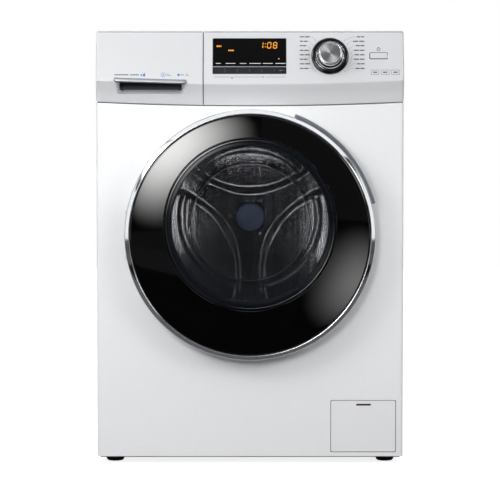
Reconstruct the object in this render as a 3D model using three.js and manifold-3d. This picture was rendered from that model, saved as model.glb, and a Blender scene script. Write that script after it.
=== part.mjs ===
// Front-loading washing machine, as an assembly of separate named pieces, in millimetres.
// +X is the machine's right side as seen from the front, -Y is the front, +Z is up.
// The origin is on the floor, under the middle of the overall box.
import * as THREE from "three";
import { mergeVertices } from "three/addons/utils/BufferGeometryUtils.js";
import Module from "manifold-3d";

// Driving dimensions
const WIDTH = 600;
const HEIGHT = 850;
const DEPTH = 600;
const DOOR_BULGE = 46; // from the front sheet to the top of the door's dome
const REAR_REACH = 14; // from the rear sheet to the end of the water inlet
const SIDE = WIDTH / 2;
const FRONT = -DEPTH / 2 + DOOR_BULGE; // outer face of the front sheet
const BACK = DEPTH / 2 - REAR_REACH; // outer face of the rear sheet
const CABINET_BOTTOM = 16.5;
const WORKTOP_BOTTOM = 832;
const SHEET = 1.6;
const RETURN = 22; // depth of the front sheet's folded rim
const FIT = 0.35; // gap between pieces that touch
const SEAM_Z = 704.2; // bottom edge of the fascia, in the middle
const CREASE_Z = 745; // foremost line of the fascia, in the middle
const SAG = 7; // rise of both lines from the middle to the corners
const FACE_TILT = THREE.MathUtils.degToRad(10); // the fascia's upper face leans back
const DRAWER_SPLIT = -91; // joint between the drawer front and the fascia
const SPLIT_GAP = 1.2;
const DOOR_Z = 452; // centre of the door's outer ring
const AXIS_Z = 473; // drum axis, window and porthole
const PORTHOLE_RADIUS = 173;
const WINDOW_RADIUS = 168;
const RING_RADIUS = 244;
const HINGE = { x: -236, y: FRONT - 22, low: 405, high: 499, pinRadius: 2.5 };
const KNOB = { x: 155.7, up: 55.9 }; // centre, up the fascia's face from the crease
const TUB_RADIUS = 267;
const DRUM_RADIUS = 245;
const DRUM_FRONT = FRONT + 100;
const DRUM_BACK = FRONT + 435;
const HATCH = { x0: 158.7, x1: 285.7, z0: 25.2, z1: 126.3 };
const FILTER = { x: 222, z: 75 };
const INLET = { x: -235, z: 770 };
const FOOT = { x: 268.5, inset: 60, padRadius: 19.5, stemRadius: 5 };
const ROUND = 24; // facets of a large round piece
const SMALL_ROUND = 12; // facets of a small round piece

const wasm = await Module();
wasm.setup();

// ---------- materials ----------
const paint = (color, roughness, metalness = 0) =>
  new THREE.MeshStandardMaterial({ color, roughness, metalness });
const white = paint(0xf2f3f4, 0.35);
const laminate = paint(0xf4f5f6, 0.45);
const whitePlastic = paint(0xe9eaec, 0.4);
const blackGloss = paint(0x08090b, 0.12);
const smoked = paint(0x20242a, 0.08);
const glass = paint(0xbfc8cc, 0.05);
const chrome = paint(0xd8dadc, 0.15, 1);
const brushedSteel = paint(0xa8aaac, 0.32, 1);
const steel = paint(0x9a9ea2, 0.4, 1);
const castAluminium = paint(0xb4b7ba, 0.55, 1);
const greyMetallic = paint(0x7d8590, 0.35, 0.7);
const greyRubber = paint(0x6f7378, 0.7);
const blackRubber = paint(0x1b1c1f, 0.8);
const tubPlastic = paint(0x9fa3a6, 0.6);
const greyPlastic = paint(0x55595e, 0.5);
const bluePlastic = paint(0x3f78b5, 0.45);
const circuitGreen = paint(0x1f5a38, 0.55);
const concrete = paint(0x8d8a84, 0.95);
const copper = paint(0xb06a3a, 0.45, 0.9);

// ---------- solids ----------
function solidOf(geometry) {
  const g = geometry.clone();
  g.deleteAttribute("normal");
  g.deleteAttribute("uv");
  const merged = mergeVertices(g, 1e-3);
  const triVerts = new Uint32Array(merged.index.array);
  const vertProperties = new Float32Array(merged.attributes.position.array);
  const make = () => new wasm.Manifold(new wasm.Mesh({ numProp: 3, vertProperties, triVerts }));
  const made = make();
  if (made.volume() >= 0) return made;
  for (let i = 0; i < triVerts.length; i += 3) {
    [triVerts[i + 1], triVerts[i + 2]] = [triVerts[i + 2], triVerts[i + 1]];
  }
  return make();
}

function geometryOf(solid) {
  const m = solid.getMesh();
  const g = new THREE.BufferGeometry();
  g.setAttribute("position", new THREE.BufferAttribute(new Float32Array(m.vertProperties), 3));
  g.setIndex(new THREE.BufferAttribute(new Uint32Array(m.triVerts), 1));
  g.computeVertexNormals();
  return g;
}

const joined = (first, ...others) =>
  geometryOf(others.reduce((sum, g) => sum.add(solidOf(g)), solidOf(first)));
const cut = (body, ...tools) =>
  geometryOf(tools.reduce((rest, g) => rest.subtract(solidOf(g)), solidOf(body)));
const common = (a, b) => geometryOf(solidOf(a).intersect(solidOf(b)));

function box(x0, x1, y0, y1, z0, z1) {
  const g = new THREE.BoxGeometry(x1 - x0, y1 - y0, z1 - z0);
  return g.translate((x0 + x1) / 2, (y0 + y1) / 2, (z0 + z1) / 2);
}

// A closed skin over a row of sections, each with the same number of points, capped at both ends.
function loft(sections) {
  const n = sections[0].length;
  const index = [];
  for (let i = 0; i < sections.length - 1; i++) {
    for (let k = 0; k < n; k++) {
      const a = i * n + k;
      const b = i * n + ((k + 1) % n);
      index.push(a, b, b + n, a, b + n, a + n);
    }
  }
  const last = (sections.length - 1) * n;
  for (let k = 1; k < n - 1; k++) index.push(0, k + 1, k, last, last + k, last + k + 1);
  const g = new THREE.BufferGeometry();
  g.setAttribute("position", new THREE.Float32BufferAttribute(sections.flat(2), 3));
  g.setIndex(index);
  return g;
}

// A box whose rear rectangle differs from its front one: each is [x0, x1, y, z0, z1].
function taperedBox(front, rear) {
  const corners = ([x0, x1, y, z0, z1]) => [[x0, y, z0], [x1, y, z0], [x1, y, z1], [x0, y, z1]];
  return loft([corners(front), corners(rear)]);
}

const steps = (from, to, count) =>
  Array.from({ length: count + 1 }, (_, i) => from + ((to - from) * i) / count);

// A closed profile of [radius, y] points turned about the front-to-back axis through (x, z).
// The y of each point counts from the front sheet.
function turned(profile, x, z, facets = ROUND) {
  const points = profile.map(([r, y]) => new THREE.Vector2(r, y));
  const onAxis = profile[0][0] === 0 && profile.at(-1)[0] === 0;
  if (!onAxis) points.push(points[0].clone());
  return new THREE.LatheGeometry(points, facets).translate(x, FRONT, z);
}

const ringProfile = (r0, r1, y0, y1) => [[r0, y0], [r1, y0], [r1, y1], [r0, y1]];
const turnedRing = (r0, r1, y0, y1, x, z, facets) =>
  turned(ringProfile(r0, r1, y0, y1), x, z, facets);

// A round bar between two points.
function bar(from, to, radius, facets = SMALL_ROUND) {
  const a = new THREE.Vector3(...from);
  const b = new THREE.Vector3(...to);
  const along = b.clone().sub(a);
  const g = new THREE.CylinderGeometry(radius, radius, along.length(), facets);
  const turn = new THREE.Quaternion().setFromUnitVectors(new THREE.Vector3(0, 1, 0), along.normalize());
  const middle = a.add(b).multiplyScalar(0.5);
  return g.applyQuaternion(turn).translate(middle.x, middle.y, middle.z);
}

// A shape drawn in X and Z, extruded from y0 to y1.
function extrudedXZ(shape, y0, y1, curveSegments = 12) {
  const g = new THREE.ExtrudeGeometry(shape, { depth: y1 - y0, bevelEnabled: false, curveSegments });
  return g.rotateX(Math.PI / 2).translate(0, y1, 0);
}

function roundedRectangle(x0, x1, z0, z1, r) {
  const s = new THREE.Shape();
  s.moveTo(x0 + r, z0);
  s.lineTo(x1 - r, z0);
  s.absarc(x1 - r, z0 + r, r, -Math.PI / 2, 0);
  s.lineTo(x1, z1 - r);
  s.absarc(x1 - r, z1 - r, r, 0, Math.PI / 2);
  s.lineTo(x0 + r, z1);
  s.absarc(x0 + r, z1 - r, r, Math.PI / 2, Math.PI);
  s.lineTo(x0, z0 + r);
  s.absarc(x0 + r, z0 + r, r, Math.PI, Math.PI * 1.5);
  return s;
}

// An arc-shaped plate about (x, z), from angle a0 to a1 in degrees.
function sector(x, z, r0, r1, a0, a1) {
  const [from, to] = [a0, a1].map(THREE.MathUtils.degToRad);
  const s = new THREE.Shape();
  s.absarc(x, z, r1, from, to, false);
  s.absarc(x, z, r0, to, from, true);
  return s;
}

// A tube with a plain round section that follows a smooth curve through the points.
function tube(points, radius, spans, sides) {
  const curve = new THREE.CatmullRomCurve3(points.map((p) => new THREE.Vector3(...p)));
  const section = new THREE.Shape();
  for (let i = 0; i < sides; i++) {
    const a = (2 * Math.PI * i) / sides;
    section[i ? "lineTo" : "moveTo"](radius * Math.cos(a), radius * Math.sin(a));
  }
  return new THREE.ExtrudeGeometry(section, { steps: spans, extrudePath: curve, bevelEnabled: false });
}

const root = new THREE.Group();
function piece(name, geometry, material) {
  const mesh = new THREE.Mesh(geometryOf(solidOf(geometry)), material.clone());
  mesh.name = name;
  root.add(mesh);
}

// ---------- lines that the fascia, the drawer and the front sheet share ----------
const sagAt = (x) => SAG * (x / SIDE) ** 2;
const seamZ = (x) => SEAM_Z + sagAt(x);
const creaseZ = (x) => CREASE_Z + sagAt(x);
const CREASE_Y = FRONT - 12;
const TOP_Y = CREASE_Y + (HEIGHT - CREASE_Z) * Math.tan(FACE_TILT);
const FASCIA_DEPTH = 30;

// Cross-section of the fascia at x, shrunk by wall on every side but the open back.
function fasciaSection(x, wall) {
  const back = FRONT + FASCIA_DEPTH + (wall ? 10 : 0);
  const slope = wall / Math.cos(FACE_TILT);
  return [
    [x, back, seamZ(x) + wall],
    [x, FRONT - 1 + wall, seamZ(x) + wall],
    [x, CREASE_Y + slope, creaseZ(x)],
    [x, TOP_Y - 0.5 + slope, HEIGHT - 4],
    [x, TOP_Y + 3 + slope, HEIGHT - wall],
    [x, back, HEIGHT - wall],
  ];
}

const fasciaLoft = (x0, x1, wall, spans) =>
  loft(steps(x0, x1, spans).map((x) => fasciaSection(x, wall)));

function fasciaShell(x0, x1, spans) {
  const wall = 3;
  return cut(fasciaLoft(x0, x1, 0, spans), fasciaLoft(x0 + wall, x1 - wall, wall, spans));
}

// A group whose X runs along the fascia's upper face, Z up it and -Y out of it.
function onFace(geometry) {
  return geometry.clone().rotateX(-FACE_TILT).translate(0, CREASE_Y, CREASE_Z);
}

// ---------- cabinet ----------
function buildCabinet() {
  const shellFront = FRONT + RETURN + FIT;
  const besideFascia = FRONT + FASCIA_DEPTH + FIT;
  const shell = cut(
    box(-SIDE, SIDE, shellFront, BACK, CABINET_BOTTOM, WORKTOP_BOTTOM - FIT),
    box(-SIDE + SHEET, SIDE - SHEET, shellFront - 10, BACK - SHEET, 0, HEIGHT),
    box(-200, 200, BACK - 20, BACK + 20, 130, 690),
    bar([INLET.x, BACK - 20, INLET.z], [INLET.x, BACK + 20, INLET.z], 15),
    box(-SIDE - 5, SIDE + 5, FRONT, besideFascia, seamZ(SIDE) - 0.6, HEIGHT),
  );
  piece("cabinet_shell", joined(shell, ...hanger(-1), ...hanger(1)), white);

  const outline = belowSeam(SIDE, CABINET_BOTTOM, 1.2);
  const hollow = belowSeam(SIDE - SHEET, CABINET_BOTTOM + SHEET, 1.2 + SHEET);
  const porthole = turned([[0, -5], [PORTHOLE_RADIUS, -5], [PORTHOLE_RADIUS, 10], [0, 10]], 0, AXIS_Z, 36);
  const { x0, x1, z0, z1 } = HATCH;
  const hatchHole = roundedRectangle(x0 - 0.8, x1 + 0.8, z0 - 0.8, z1 + 0.8, 3);
  const front = cut(
    extrudedXZ(outline, FRONT, FRONT + RETURN),
    extrudedXZ(hollow, FRONT + SHEET, FRONT + RETURN + 8),
    porthole,
    extrudedXZ(hatchHole, FRONT - 5, FRONT + 10, 3),
    box(196, 224, FRONT - 5, FRONT + 10, DOOR_Z - 14, DOOR_Z + 14),
  );
  piece("front_panel", front, white);

  const top = roundedRectangle(-SIDE, SIDE, FRONT + FASCIA_DEPTH + FIT, BACK, 4);
  const board = new THREE.ExtrudeGeometry(top, {
    depth: HEIGHT - WORKTOP_BOTTOM, bevelEnabled: false, curveSegments: 4,
  });
  piece("top_cover", board.translate(0, 0, WORKTOP_BOTTOM), laminate);

  const trayX = SIDE - SHEET - FIT;
  const panFront = FRONT + SHEET + FIT;
  const panBack = BACK - SHEET - FIT;
  const pan = box(-trayX, trayX, panFront, panBack, 19, 45);
  const footHoles = footPlaces().map(([, x, y]) => bar([x, y, 10], [x, y, 60], FOOT.stemRadius + 1));
  const tray = cut(
    pan,
    box(-trayX + 2, trayX - 2, panFront + 2, panBack - 2, 21.5, 60),
    box(-150, 150, -150, 200, 10, 60),
    box(x0 - 6, x1 + 6, panFront - 5, panFront + 5, 24, 60),
    ...footHoles,
  );
  piece("base_pan", joined(tray, ...[-1, 1].flatMap(damperClevis)), steel);

  const plate = extrudedXZ(roundedRectangle(-212, 212, 118, 702, 8), BACK + FIT, BACK + 2, 3);
  const dome = turned([[0, 549], [120, 549], [146, 541], [0, 541]], 0, AXIS_Z, 32);
  const hollowDome = turned([[0, 547.5], [119, 547.5], [143, 539], [0, 539]], 0, AXIS_Z, 32);
  piece("rear_cover", cut(joined(plate, dome), hollowDome), steel);
}

// Shelf and flange on a side wall, from which a spring hangs.
function hanger(side) {
  const shelf = [side * 243, side * (SIDE - 1)].sort((a, b) => a - b);
  const flange = [side * (SIDE - 4), side * (SIDE - 1)].sort((a, b) => a - b);
  const [y0, y1] = [SPRING.y - 16, SPRING.y + 16];
  return [box(...shelf, y0, y1, 815, 818), box(...flange, y0, y1, 795, 818)];
}

// The front sheet's outline: straight sides and base, and a top edge that follows the fascia's seam.
function belowSeam(halfWidth, base, gap) {
  const top = steps(halfWidth, -halfWidth, 12).map((x) => new THREE.Vector2(x, seamZ(x) - gap));
  return new THREE.Shape([new THREE.Vector2(-halfWidth, base), new THREE.Vector2(halfWidth, base), ...top]);
}

function footPlaces() {
  return [
    ["front_left", -FOOT.x, FRONT + FOOT.inset],
    ["front_right", FOOT.x, FRONT + FOOT.inset],
    ["rear_left", -FOOT.x, BACK - FOOT.inset],
    ["rear_right", FOOT.x, BACK - FOOT.inset],
  ];
}

function buildFeet() {
  const { padRadius: r, stemRadius } = FOOT;
  const pad = [[0, 0], [r - 4, 0], [r - 1.5, 4], [r, 9], [r, 14]];
  const profile = [...pad, [stemRadius, 14.5], [stemRadius, 56], [0, 56]];
  for (const [where, x, y] of footPlaces()) {
    const points = profile.map(([radius, z]) => new THREE.Vector2(radius, z));
    const foot = new THREE.LatheGeometry(points, SMALL_ROUND).rotateX(Math.PI / 2).translate(x, y, 0);
    piece(`foot_${where}`, foot, blackRubber);
  }
}

// ---------- control panel ----------
function buildFascia() {
  const x0 = DRAWER_SPLIT + SPLIT_GAP / 2;
  const display = onFace(box(-73, 71, -20, 20, 20.3, 91.8));
  const button = onFace(box(233.4, 267.6, -20, 20, 50.6, 62.4));
  const knobHole = onFace(bar([KNOB.x, -20, KNOB.up], [KNOB.x, 20, KNOB.up], 8));
  piece("control_panel", cut(fasciaShell(x0, SIDE, 10), display, button, knobHole), whitePlastic);

  const lens = onFace(box(-72.6, 70.6, -0.6, 3, 36, 91.4));
  piece("display_window", lens, blackGloss);
  const strip = joined(box(-72.6, 70.6, -0.6, 3, 20.7, 34), box(-72.6, 70.6, -1.2, 1, 34, 35.6));
  piece("touch_strip", onFace(strip), blackGloss);

  const board = joined(
    box(-84, 286, 15, 17, 10, 96),
    box(-66, 64, 5, 16, 24, 88),
    box(KNOB.x - 14, KNOB.x + 14, 8, 16, KNOB.up - 14, KNOB.up + 14),
    box(243, 257, 9, 16, 50, 62),
  );
  const shaftRoom = bar([KNOB.x, 0, KNOB.up], [KNOB.x, 30, KNOB.up], 3.6);
  piece("control_board", onFace(cut(board, shaftRoom)), circuitGreen);

  // Turned about the knob's own axis: [radius, height above the face].
  const aboutKnob = (profile, facets) => {
    const points = profile.map(([r, h]) => new THREE.Vector2(r, -h));
    if (profile[0][0] || profile.at(-1)[0]) points.push(points[0].clone());
    return onFace(new THREE.LatheGeometry(points, facets).translate(KNOB.x, 0, KNOB.up));
  };
  piece("knob_bezel", aboutKnob([[9, 0.4], [36.4, 0.4], [36.4, 3], [34, 5.5], [9, 5.5]], 24), blackGloss);
  piece("programme_knob", aboutKnob([
    [0, -20], [3, -20], [3, 6], [27, 6], [27.2, 8], [25.5, 10.5], [23.2, 24], [22, 25.5],
    [20.8, 25.5], [20.8, 24], [0, 24],
  ], 24), chrome);
  piece("knob_cap", aboutKnob([[0, 24.4], [20.3, 24.4], [20.3, 26], [0, 26.4]], 24), brushedSteel);

  const key = joined(box(234, 267, -1.6, 2.4, 51.2, 61.8), box(246, 254, 2, 5.8, 53, 60));
  piece("power_button", onFace(key), whitePlastic);
}

// ---------- detergent drawer ----------
const TRAY = { x0: -283, x1: -107, y0: FRONT + 18.9, y1: FRONT + 230, z0: 738, z1: 806 };

function buildDrawer() {
  const x1 = DRAWER_SPLIT - SPLIT_GAP / 2;
  const mouth = [-264.8, -122.9, FRONT - 20, 719, 745];
  const grow = 2.5;
  const pocket = taperedBox(mouth, [-246, -142, FRONT + 16, 735, 764]);
  const pocketWall = taperedBox(
    [mouth[0] - grow, mouth[1] + grow, FRONT - 3, mouth[3] + 2, mouth[4] + 6],
    [-246 - grow, -142 + grow, FRONT + 16 + grow, 735 - grow, 764 + grow],
  );
  const mask = fasciaLoft(-SIDE, x1, 0, 8);
  const shell = joined(fasciaShell(-SIDE, x1, 8), common(pocketWall, mask));
  const openBack = box(-SIDE - 5, 0, FRONT + FASCIA_DEPTH, FRONT + 80, 600, HEIGHT + 20);
  // In front of the shell's wall the cut ends at the bright lip, and behind it at the pocket's roof.
  const mouthCut = common(pocket, box(-290, -100, FRONT - 30, FRONT - 2, 690, 748));
  const depthCut = common(pocket, box(-290, -100, FRONT - 2.2, FRONT + 30, 690, 790));
  piece("drawer_front", cut(shell, joined(mouthCut, depthCut), openBack), whitePlastic);

  piece("drawer_handle", handleBar(), chrome);

  const { x0: tx0, x1: tx1, y0, y1, z0, z1 } = TRAY;
  const wall = 2.5;
  const inner = [[tx0 + wall, -212], [-209.5, -172], [-169.5, tx1 - wall]];
  const rooms = inner.map(([a, b]) => box(a, b, y0 + wall, y1 - wall, z0 + wall, z1 + 10));
  const tray = cut(box(tx0, tx1, y0, y1, z0, z1), ...rooms);
  piece("drawer_tray", tray, whitePlastic);

  const gap = 3;
  const houseFront = FRONT + FASCIA_DEPTH + 2;
  const houseBack = y1 + 12;
  const outer = gap + wall;
  const house = box(tx0 - outer, tx1 + outer, houseFront, houseBack, z0 - outer, z1 + outer + 4);
  const room = box(tx0 - gap, tx1 + gap, houseFront - 5, houseBack - wall, z0 - gap, z1 + gap + 4);
  const spout = bar([-150, y1 - 26, z0 - 19], [-150, y1 - 26, z0 - 4], 17);
  const bore = bar([-150, y1 - 26, z0 - 40], [-150, y1 - 26, z0 + 2], 14);
  piece("dispenser_housing", cut(joined(house, spout), room, bore), whitePlastic);
}

// The bright lip that hangs over the top of the drawer's finger pocket, along the crease.
function handleBar() {
  const rise = 8 * Math.tan(FACE_TILT);
  return loft(steps(-265, -123, 6).map((x) => {
    const z = creaseZ(x);
    return [
      [x, CREASE_Y - FIT, z + 0.3], [x, CREASE_Y - 4, z - 1.2], [x, CREASE_Y - 5.4, z + 1],
      [x, CREASE_Y - 4.6, z + 6], [x, CREASE_Y - 2, z + 8], [x, CREASE_Y - FIT - 0.3 + rise, z + 8],
    ];
  }));
}

// ---------- door ----------
function buildDoor() {
  const notch = box(-260, -206, FRONT - 28.7, FRONT + 5, HINGE.low - 9, HINGE.high + 9);
  const ringNotch = box(-260, -222, FRONT - 28.7, FRONT + 5, HINGE.low - 9, HINGE.high + 9);
  const ring = turned([
    [234.4, -29.5], [234.4, -33], [237, -36.4], [240.5, -36.4], [243.2, -33.5], [RING_RADIUS, -29],
    [RING_RADIUS, -6], [242, -4], [238, -4], [238, -27],
  ], 0, DOOR_Z, 36);
  piece("door_trim_ring", cut(ring, ringNotch), chrome);

  const dome = turned([
    [0, -46], [90, -45.5], [168, -43.2], [218, -38.6], [229, -35.4], [233.8, -31], [233.8, -29],
    [228, -32.6], [217.5, -35.7], [168, -40.2], [90, -42.5], [0, -43],
  ], 0, DOOR_Z, 36);
  const window = (r) => turned([[0, -60], [r, -60], [r, -20], [0, -20]], 0, AXIS_Z, 36);
  piece("door_cover", cut(dome, window(WINDOW_RADIUS)), blackGloss);
  piece("door_window", common(dome, window(WINDOW_RADIUS - FIT)), smoked);

  const frame = turned([
    [0, -8], [231, -8], [231, -26.5], [237.5, -26.5], [237.5, -4], [0, -4],
  ], 0, DOOR_Z, 36);
  const bowlHole = turned([[0, -40], [162, -40], [162, 5], [0, 5]], 0, AXIS_Z);
  const hookHole = box(203, 215, FRONT - 12, FRONT, DOOR_Z - 8, DOOR_Z + 8);
  piece("door_frame", cut(frame, bowlHole, notch, hookHole), whitePlastic);

  const bowl = turned([
    [118, 94], [146, 10], [150, -8], [154, -11.5], [172, -11.5], [172, -8.6], [158, -8.6], [154, 12], [126.4, 94],
  ], 0, AXIS_Z);
  piece("glass_bowl", bowl, glass);
  piece("glass_bowl_end", turned([[0, 94], [126.4, 94], [124, 98], [116, 102], [0, 102]], 0, AXIS_Z), glass);

  const grip = sector(0, DOOR_Z, RING_RADIUS + FIT + 0.1, 251, 14.4, 69.5);
  piece("door_handle", extrudedXZ(grip, FRONT - 32, FRONT - 23, 16), greyMetallic);

  const { x, y, low, high, pinRadius } = HINGE;
  const pinHole = bar([x, y, 380], [x, y, 520], pinRadius + 0.35, 16);
  const knuckle = (z0, z1) => bar([x, y, z0], [x, y, z1], 5.4, 16);
  const leaf = joined(
    knuckle(low + 14, high - 14),
    box(x, -226, y - 1, y + 4, low + 14, high - 14),
    box(-230, -226, y - 1, FRONT - 8.6, low + 14, high - 14),
    box(-230, -180, FRONT - 11.2, FRONT - 8.6, low + 14, high - 14),
  );
  piece("door_hinge_arm", cut(leaf, pinHole), castAluminium);
  const ear = (z0, z1) => joined(knuckle(z0, z1), slantedEar(z0, z1));
  const bracket = joined(
    box(-215, -182, FRONT - 2.6, FRONT - 0.4, low - 4, high + 4),
    ear(low, low + 12),
    ear(high - 12, high),
  );
  piece("hinge_bracket", cut(bracket, pinHole), castAluminium);
  piece("hinge_pin", bar([x, y, low - 3], [x, y, high + 3], pinRadius, 16), steel);

  const hook = joined(
    box(204, 214, FRONT - 11, FRONT + 15, DOOR_Z - 7, DOOR_Z + 7),
    box(200, 206, FRONT + 10, FRONT + 15, DOOR_Z - 7, DOOR_Z + 7),
    box(198, 220, FRONT - 14, FRONT - 10.9, DOOR_Z - 12, DOOR_Z + 12),
  );
  piece("door_hook", hook, steel);
  const lock = cut(
    box(190, 236, FRONT + 2.4, FRONT + 36, DOOR_Z - 32, DOOR_Z + 32),
    box(196, 222, FRONT - 5, FRONT + 22, DOOR_Z - 12, DOOR_Z + 12),
  );
  piece("door_lock", lock, greyPlastic);
}

// The fixed knuckle's arm reaches the pin from the right and the rear, clear of the turning rim.
function slantedEar(z0, z1) {
  const { x, y } = HINGE;
  const s = new THREE.Shape();
  s.moveTo(x + 2, y - 2);
  s.lineTo(x + 27, FRONT - 2.5);
  s.lineTo(x + 27, FRONT - 0.5);
  s.lineTo(x + 18, FRONT - 0.5);
  s.lineTo(x - 1, y + 4.5);
  const g = new THREE.ExtrudeGeometry(s, { depth: z1 - z0, bevelEnabled: false });
  return g.translate(0, 0, z0);
}

// ---------- gasket, tub and drum ----------
function buildGasket() {
  const profile = [
    [166, -2.4], [178, -2.4], [178, -0.5], [172, -0.5], [172, 2.4], [182, 2.4], [182, 5.6], [171, 5.6],
    [171, 22], [187, 28], [187, 43], [172.5, 48], [171, 60], [181, 64], [181, 81], [177.2, 81],
    [177.2, 67], [167, 62], [169, 45], [183.4, 40], [183.4, 31], [168, 25.6], [154, 19.5], [154, 17],
    [165, 18.6],
  ];
  piece("door_gasket", turned(profile, 0, AXIS_Z), greyRubber);
}

const SPRING = { topX: 258, topZ: 814.3, lowX: 222, lowZ: 668, y: 40, turns: 7, coil: 10, wire: 1.6 };
const DAMPER = { baseX: 225, baseZ: 52, tubX: 162.3, tubZ: 241.2, y: 16 };

// Clevis cheeks and pin on the base pan, for one damper.
function damperClevis(side) {
  const { baseX, baseZ, y } = DAMPER;
  const x = side * baseX;
  return [
    box(x - 12, x + 12, y - 14, y - 10.5, 20, baseZ + 10),
    box(x - 12, x + 12, y + 10.5, y + 14, 20, baseZ + 10),
    bar([x, y - 14, baseZ], [x, y + 14, baseZ], 4.8, 16),
    box(x - 30, x + 30, y - 40, y + 40, 19, 21.5),
  ];
}

function tubEars(side) {
  const { tubX, tubZ, y } = DAMPER;
  const x = side * tubX;
  const inward = side * (tubX - 14);
  const cheek = (y0, y1) => joined(
    bar([x, y0, tubZ], [x, y1, tubZ], 9, 16),
    taperedEar(x, inward, y0, y1, tubZ),
  );
  const hookX = side * SPRING.lowX;
  return [
    cheek(y - 14, y - 10.5),
    cheek(y + 10.5, y + 14),
    bar([x, y - 14, tubZ], [x, y + 14, tubZ], 4.8, 16),
    box(Math.min(hookX, side * 190) - 12, Math.max(hookX, side * 190) + 12, SPRING.y - 14, SPRING.y + 14,
      SPRING.lowZ - 22, SPRING.lowZ - 1),
  ];
}

function taperedEar(x, inward, y0, y1, z) {
  const s = new THREE.Shape();
  s.moveTo(x - 9, z);
  s.lineTo(x + 9, z);
  s.lineTo(inward + 14, z + 32);
  s.lineTo(inward - 14, z + 32);
  return extrudedXZ(s, y0, y1);
}

function buildTub() {
  const r = TUB_RADIUS;
  const wall = 5;
  const split = 255;
  const front = turned([
    [168, 68], [176, 68], [176, 85], [r, 85], [r, split - 8], [r + 6, split - 8], [r + 6, split],
    [r - wall, split], [r - wall, 91], [168, 91],
  ], 0, AXIS_Z);
  const heaterSlot = box(-34, 34, FRONT + 80, FRONT + 96, AXIS_Z - r + 9, AXIS_Z - r + 21);
  piece("tub_front", cut(front, heaterSlot), tubPlastic);

  const rear = turned([
    [r - wall, split + FIT], [r + 6, split + FIT], [r + 6, split + 8], [r, split + 8], [r, 463],
    [40, 463], [40, 495], [26.4, 495], [26.4, 457], [r - wall, 457],
  ], 0, AXIS_Z);
  const ribs = Array.from({ length: 6 }, (_, i) =>
    box(-3, 3, FRONT + 462, FRONT + 468, 105, 250).rotateY((i * Math.PI) / 3).translate(0, 0, AXIS_Z));
  const stub = bar([70, FRONT + 330, 180], [70, FRONT + 330, 240], 20);
  const stubBore = bar([70, FRONT + 330, 170], [70, FRONT + 330, 240], 17);
  const inside = turned([[0, split], [r - wall, split], [r - wall, 457], [0, 457]], 0, AXIS_Z);
  const ears = [-1, 1].flatMap(tubEars);
  piece("tub_rear", cut(joined(rear, ...ribs, stub, ...ears), inside, stubBore), tubPlastic);

  const half = [[22, 78], [22, 110], [22, 260], [22, 318], [12, 334]];
  const rod = [...half.map(([x, y]) => [-x, y]), [0, 338], ...half.reverse()];
  const heaterZ = AXIS_Z - r + wall + 8;
  const element = tube(rod.map(([x, y]) => [x, FRONT + y, heaterZ]), 3, 18, 5);
  const flange = box(-31, 31, FRONT + 76, FRONT + 84.6, heaterZ - 10, heaterZ + 12);
  piece("heater", joined(element, flange), steel);
}

function buildDrum() {
  const r = DRUM_RADIUS;
  const f = DRUM_FRONT - FRONT;
  const b = DRUM_BACK - FRONT;
  const shell = turned([
    [160, f - 2], [165, f - 4], [170, f], [r - 12, f + 4], [r, f + 14], [r, b - 14], [r - 8, b],
    [70, b], [56, b - 16], [0, b - 16], [0, b - 18], [57, b - 18], [71, b - 2], [r - 9, b - 2],
    [r - 2, b - 15], [r - 2, f + 15], [r - 13, f + 6], [169, f + 2], [165, f - 1.5], [161, f + 0.5],
  ].reverse(), 0, AXIS_Z);
  piece("drum", shell, brushedSteel);

  [270, 30, 150].forEach((degrees, i) => {
    const lifter = liftingRib().rotateY(THREE.MathUtils.degToRad(90 - degrees)).translate(0, 0, AXIS_Z);
    piece(`lifter_${i + 1}`, lifter, greyPlastic);
  });

  const hub = turned([[12.9, b + 1], [40, b + 1], [40, b + 14], [12.9, b + 19]], 0, AXIS_Z, 24);
  const arms = [270, 30, 150].map((degrees) => {
    const arm = new THREE.Shape();
    arm.moveTo(-17, 30);
    arm.lineTo(17, 30);
    arm.lineTo(11, 236);
    arm.lineTo(-11, 236);
    const g = extrudedXZ(arm, DRUM_BACK + 1, DRUM_BACK + 13);
    return g.rotateY(THREE.MathUtils.degToRad(90 - degrees)).translate(0, 0, AXIS_Z);
  });
  piece("drum_spider", joined(hub, ...arms), castAluminium);

  piece("drum_shaft", turned([[0, 437], [12.5, 437], [12.5, 512], [0, 512]], 0, AXIS_Z, 24), steel);
  piece("bearing_front", turnedRing(12.8, 26, 458, 473, 0, AXIS_Z, 24), steel);
  piece("bearing_rear", turnedRing(12.8, 26, 479, 494, 0, AXIS_Z, 24), steel);

  piece("motor_stator", stator(), copper);
  const cup = turned([
    [13, 500], [24, 500], [24, 497.5], [30, 497.5], [34, 501], [104, 501], [104, 468], [110, 468],
    [110, 505], [13, 505],
  ], 0, AXIS_Z);
  piece("motor_rotor", cup, steel);
}

// A hollow paddle on the drum's wall, drawn at the top of the drum and pointing down.
function liftingRib() {
  const reach = DRUM_RADIUS - 3;
  const s = new THREE.Shape();
  s.moveTo(-30, reach - 5);
  s.lineTo(30, reach - 5);
  s.lineTo(15, reach - 44);
  s.quadraticCurveTo(0, reach - 60, -15, reach - 44);
  const full = extrudedXZ(s, DRUM_FRONT + 22, DRUM_BACK - 26, 5);
  const inner = new THREE.Shape();
  inner.moveTo(-26, reach);
  inner.lineTo(26, reach);
  inner.lineTo(12, reach - 42);
  inner.lineTo(-12, reach - 42);
  return cut(full, extrudedXZ(inner, DRUM_FRONT + 26, DRUM_BACK - 30));
}

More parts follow.
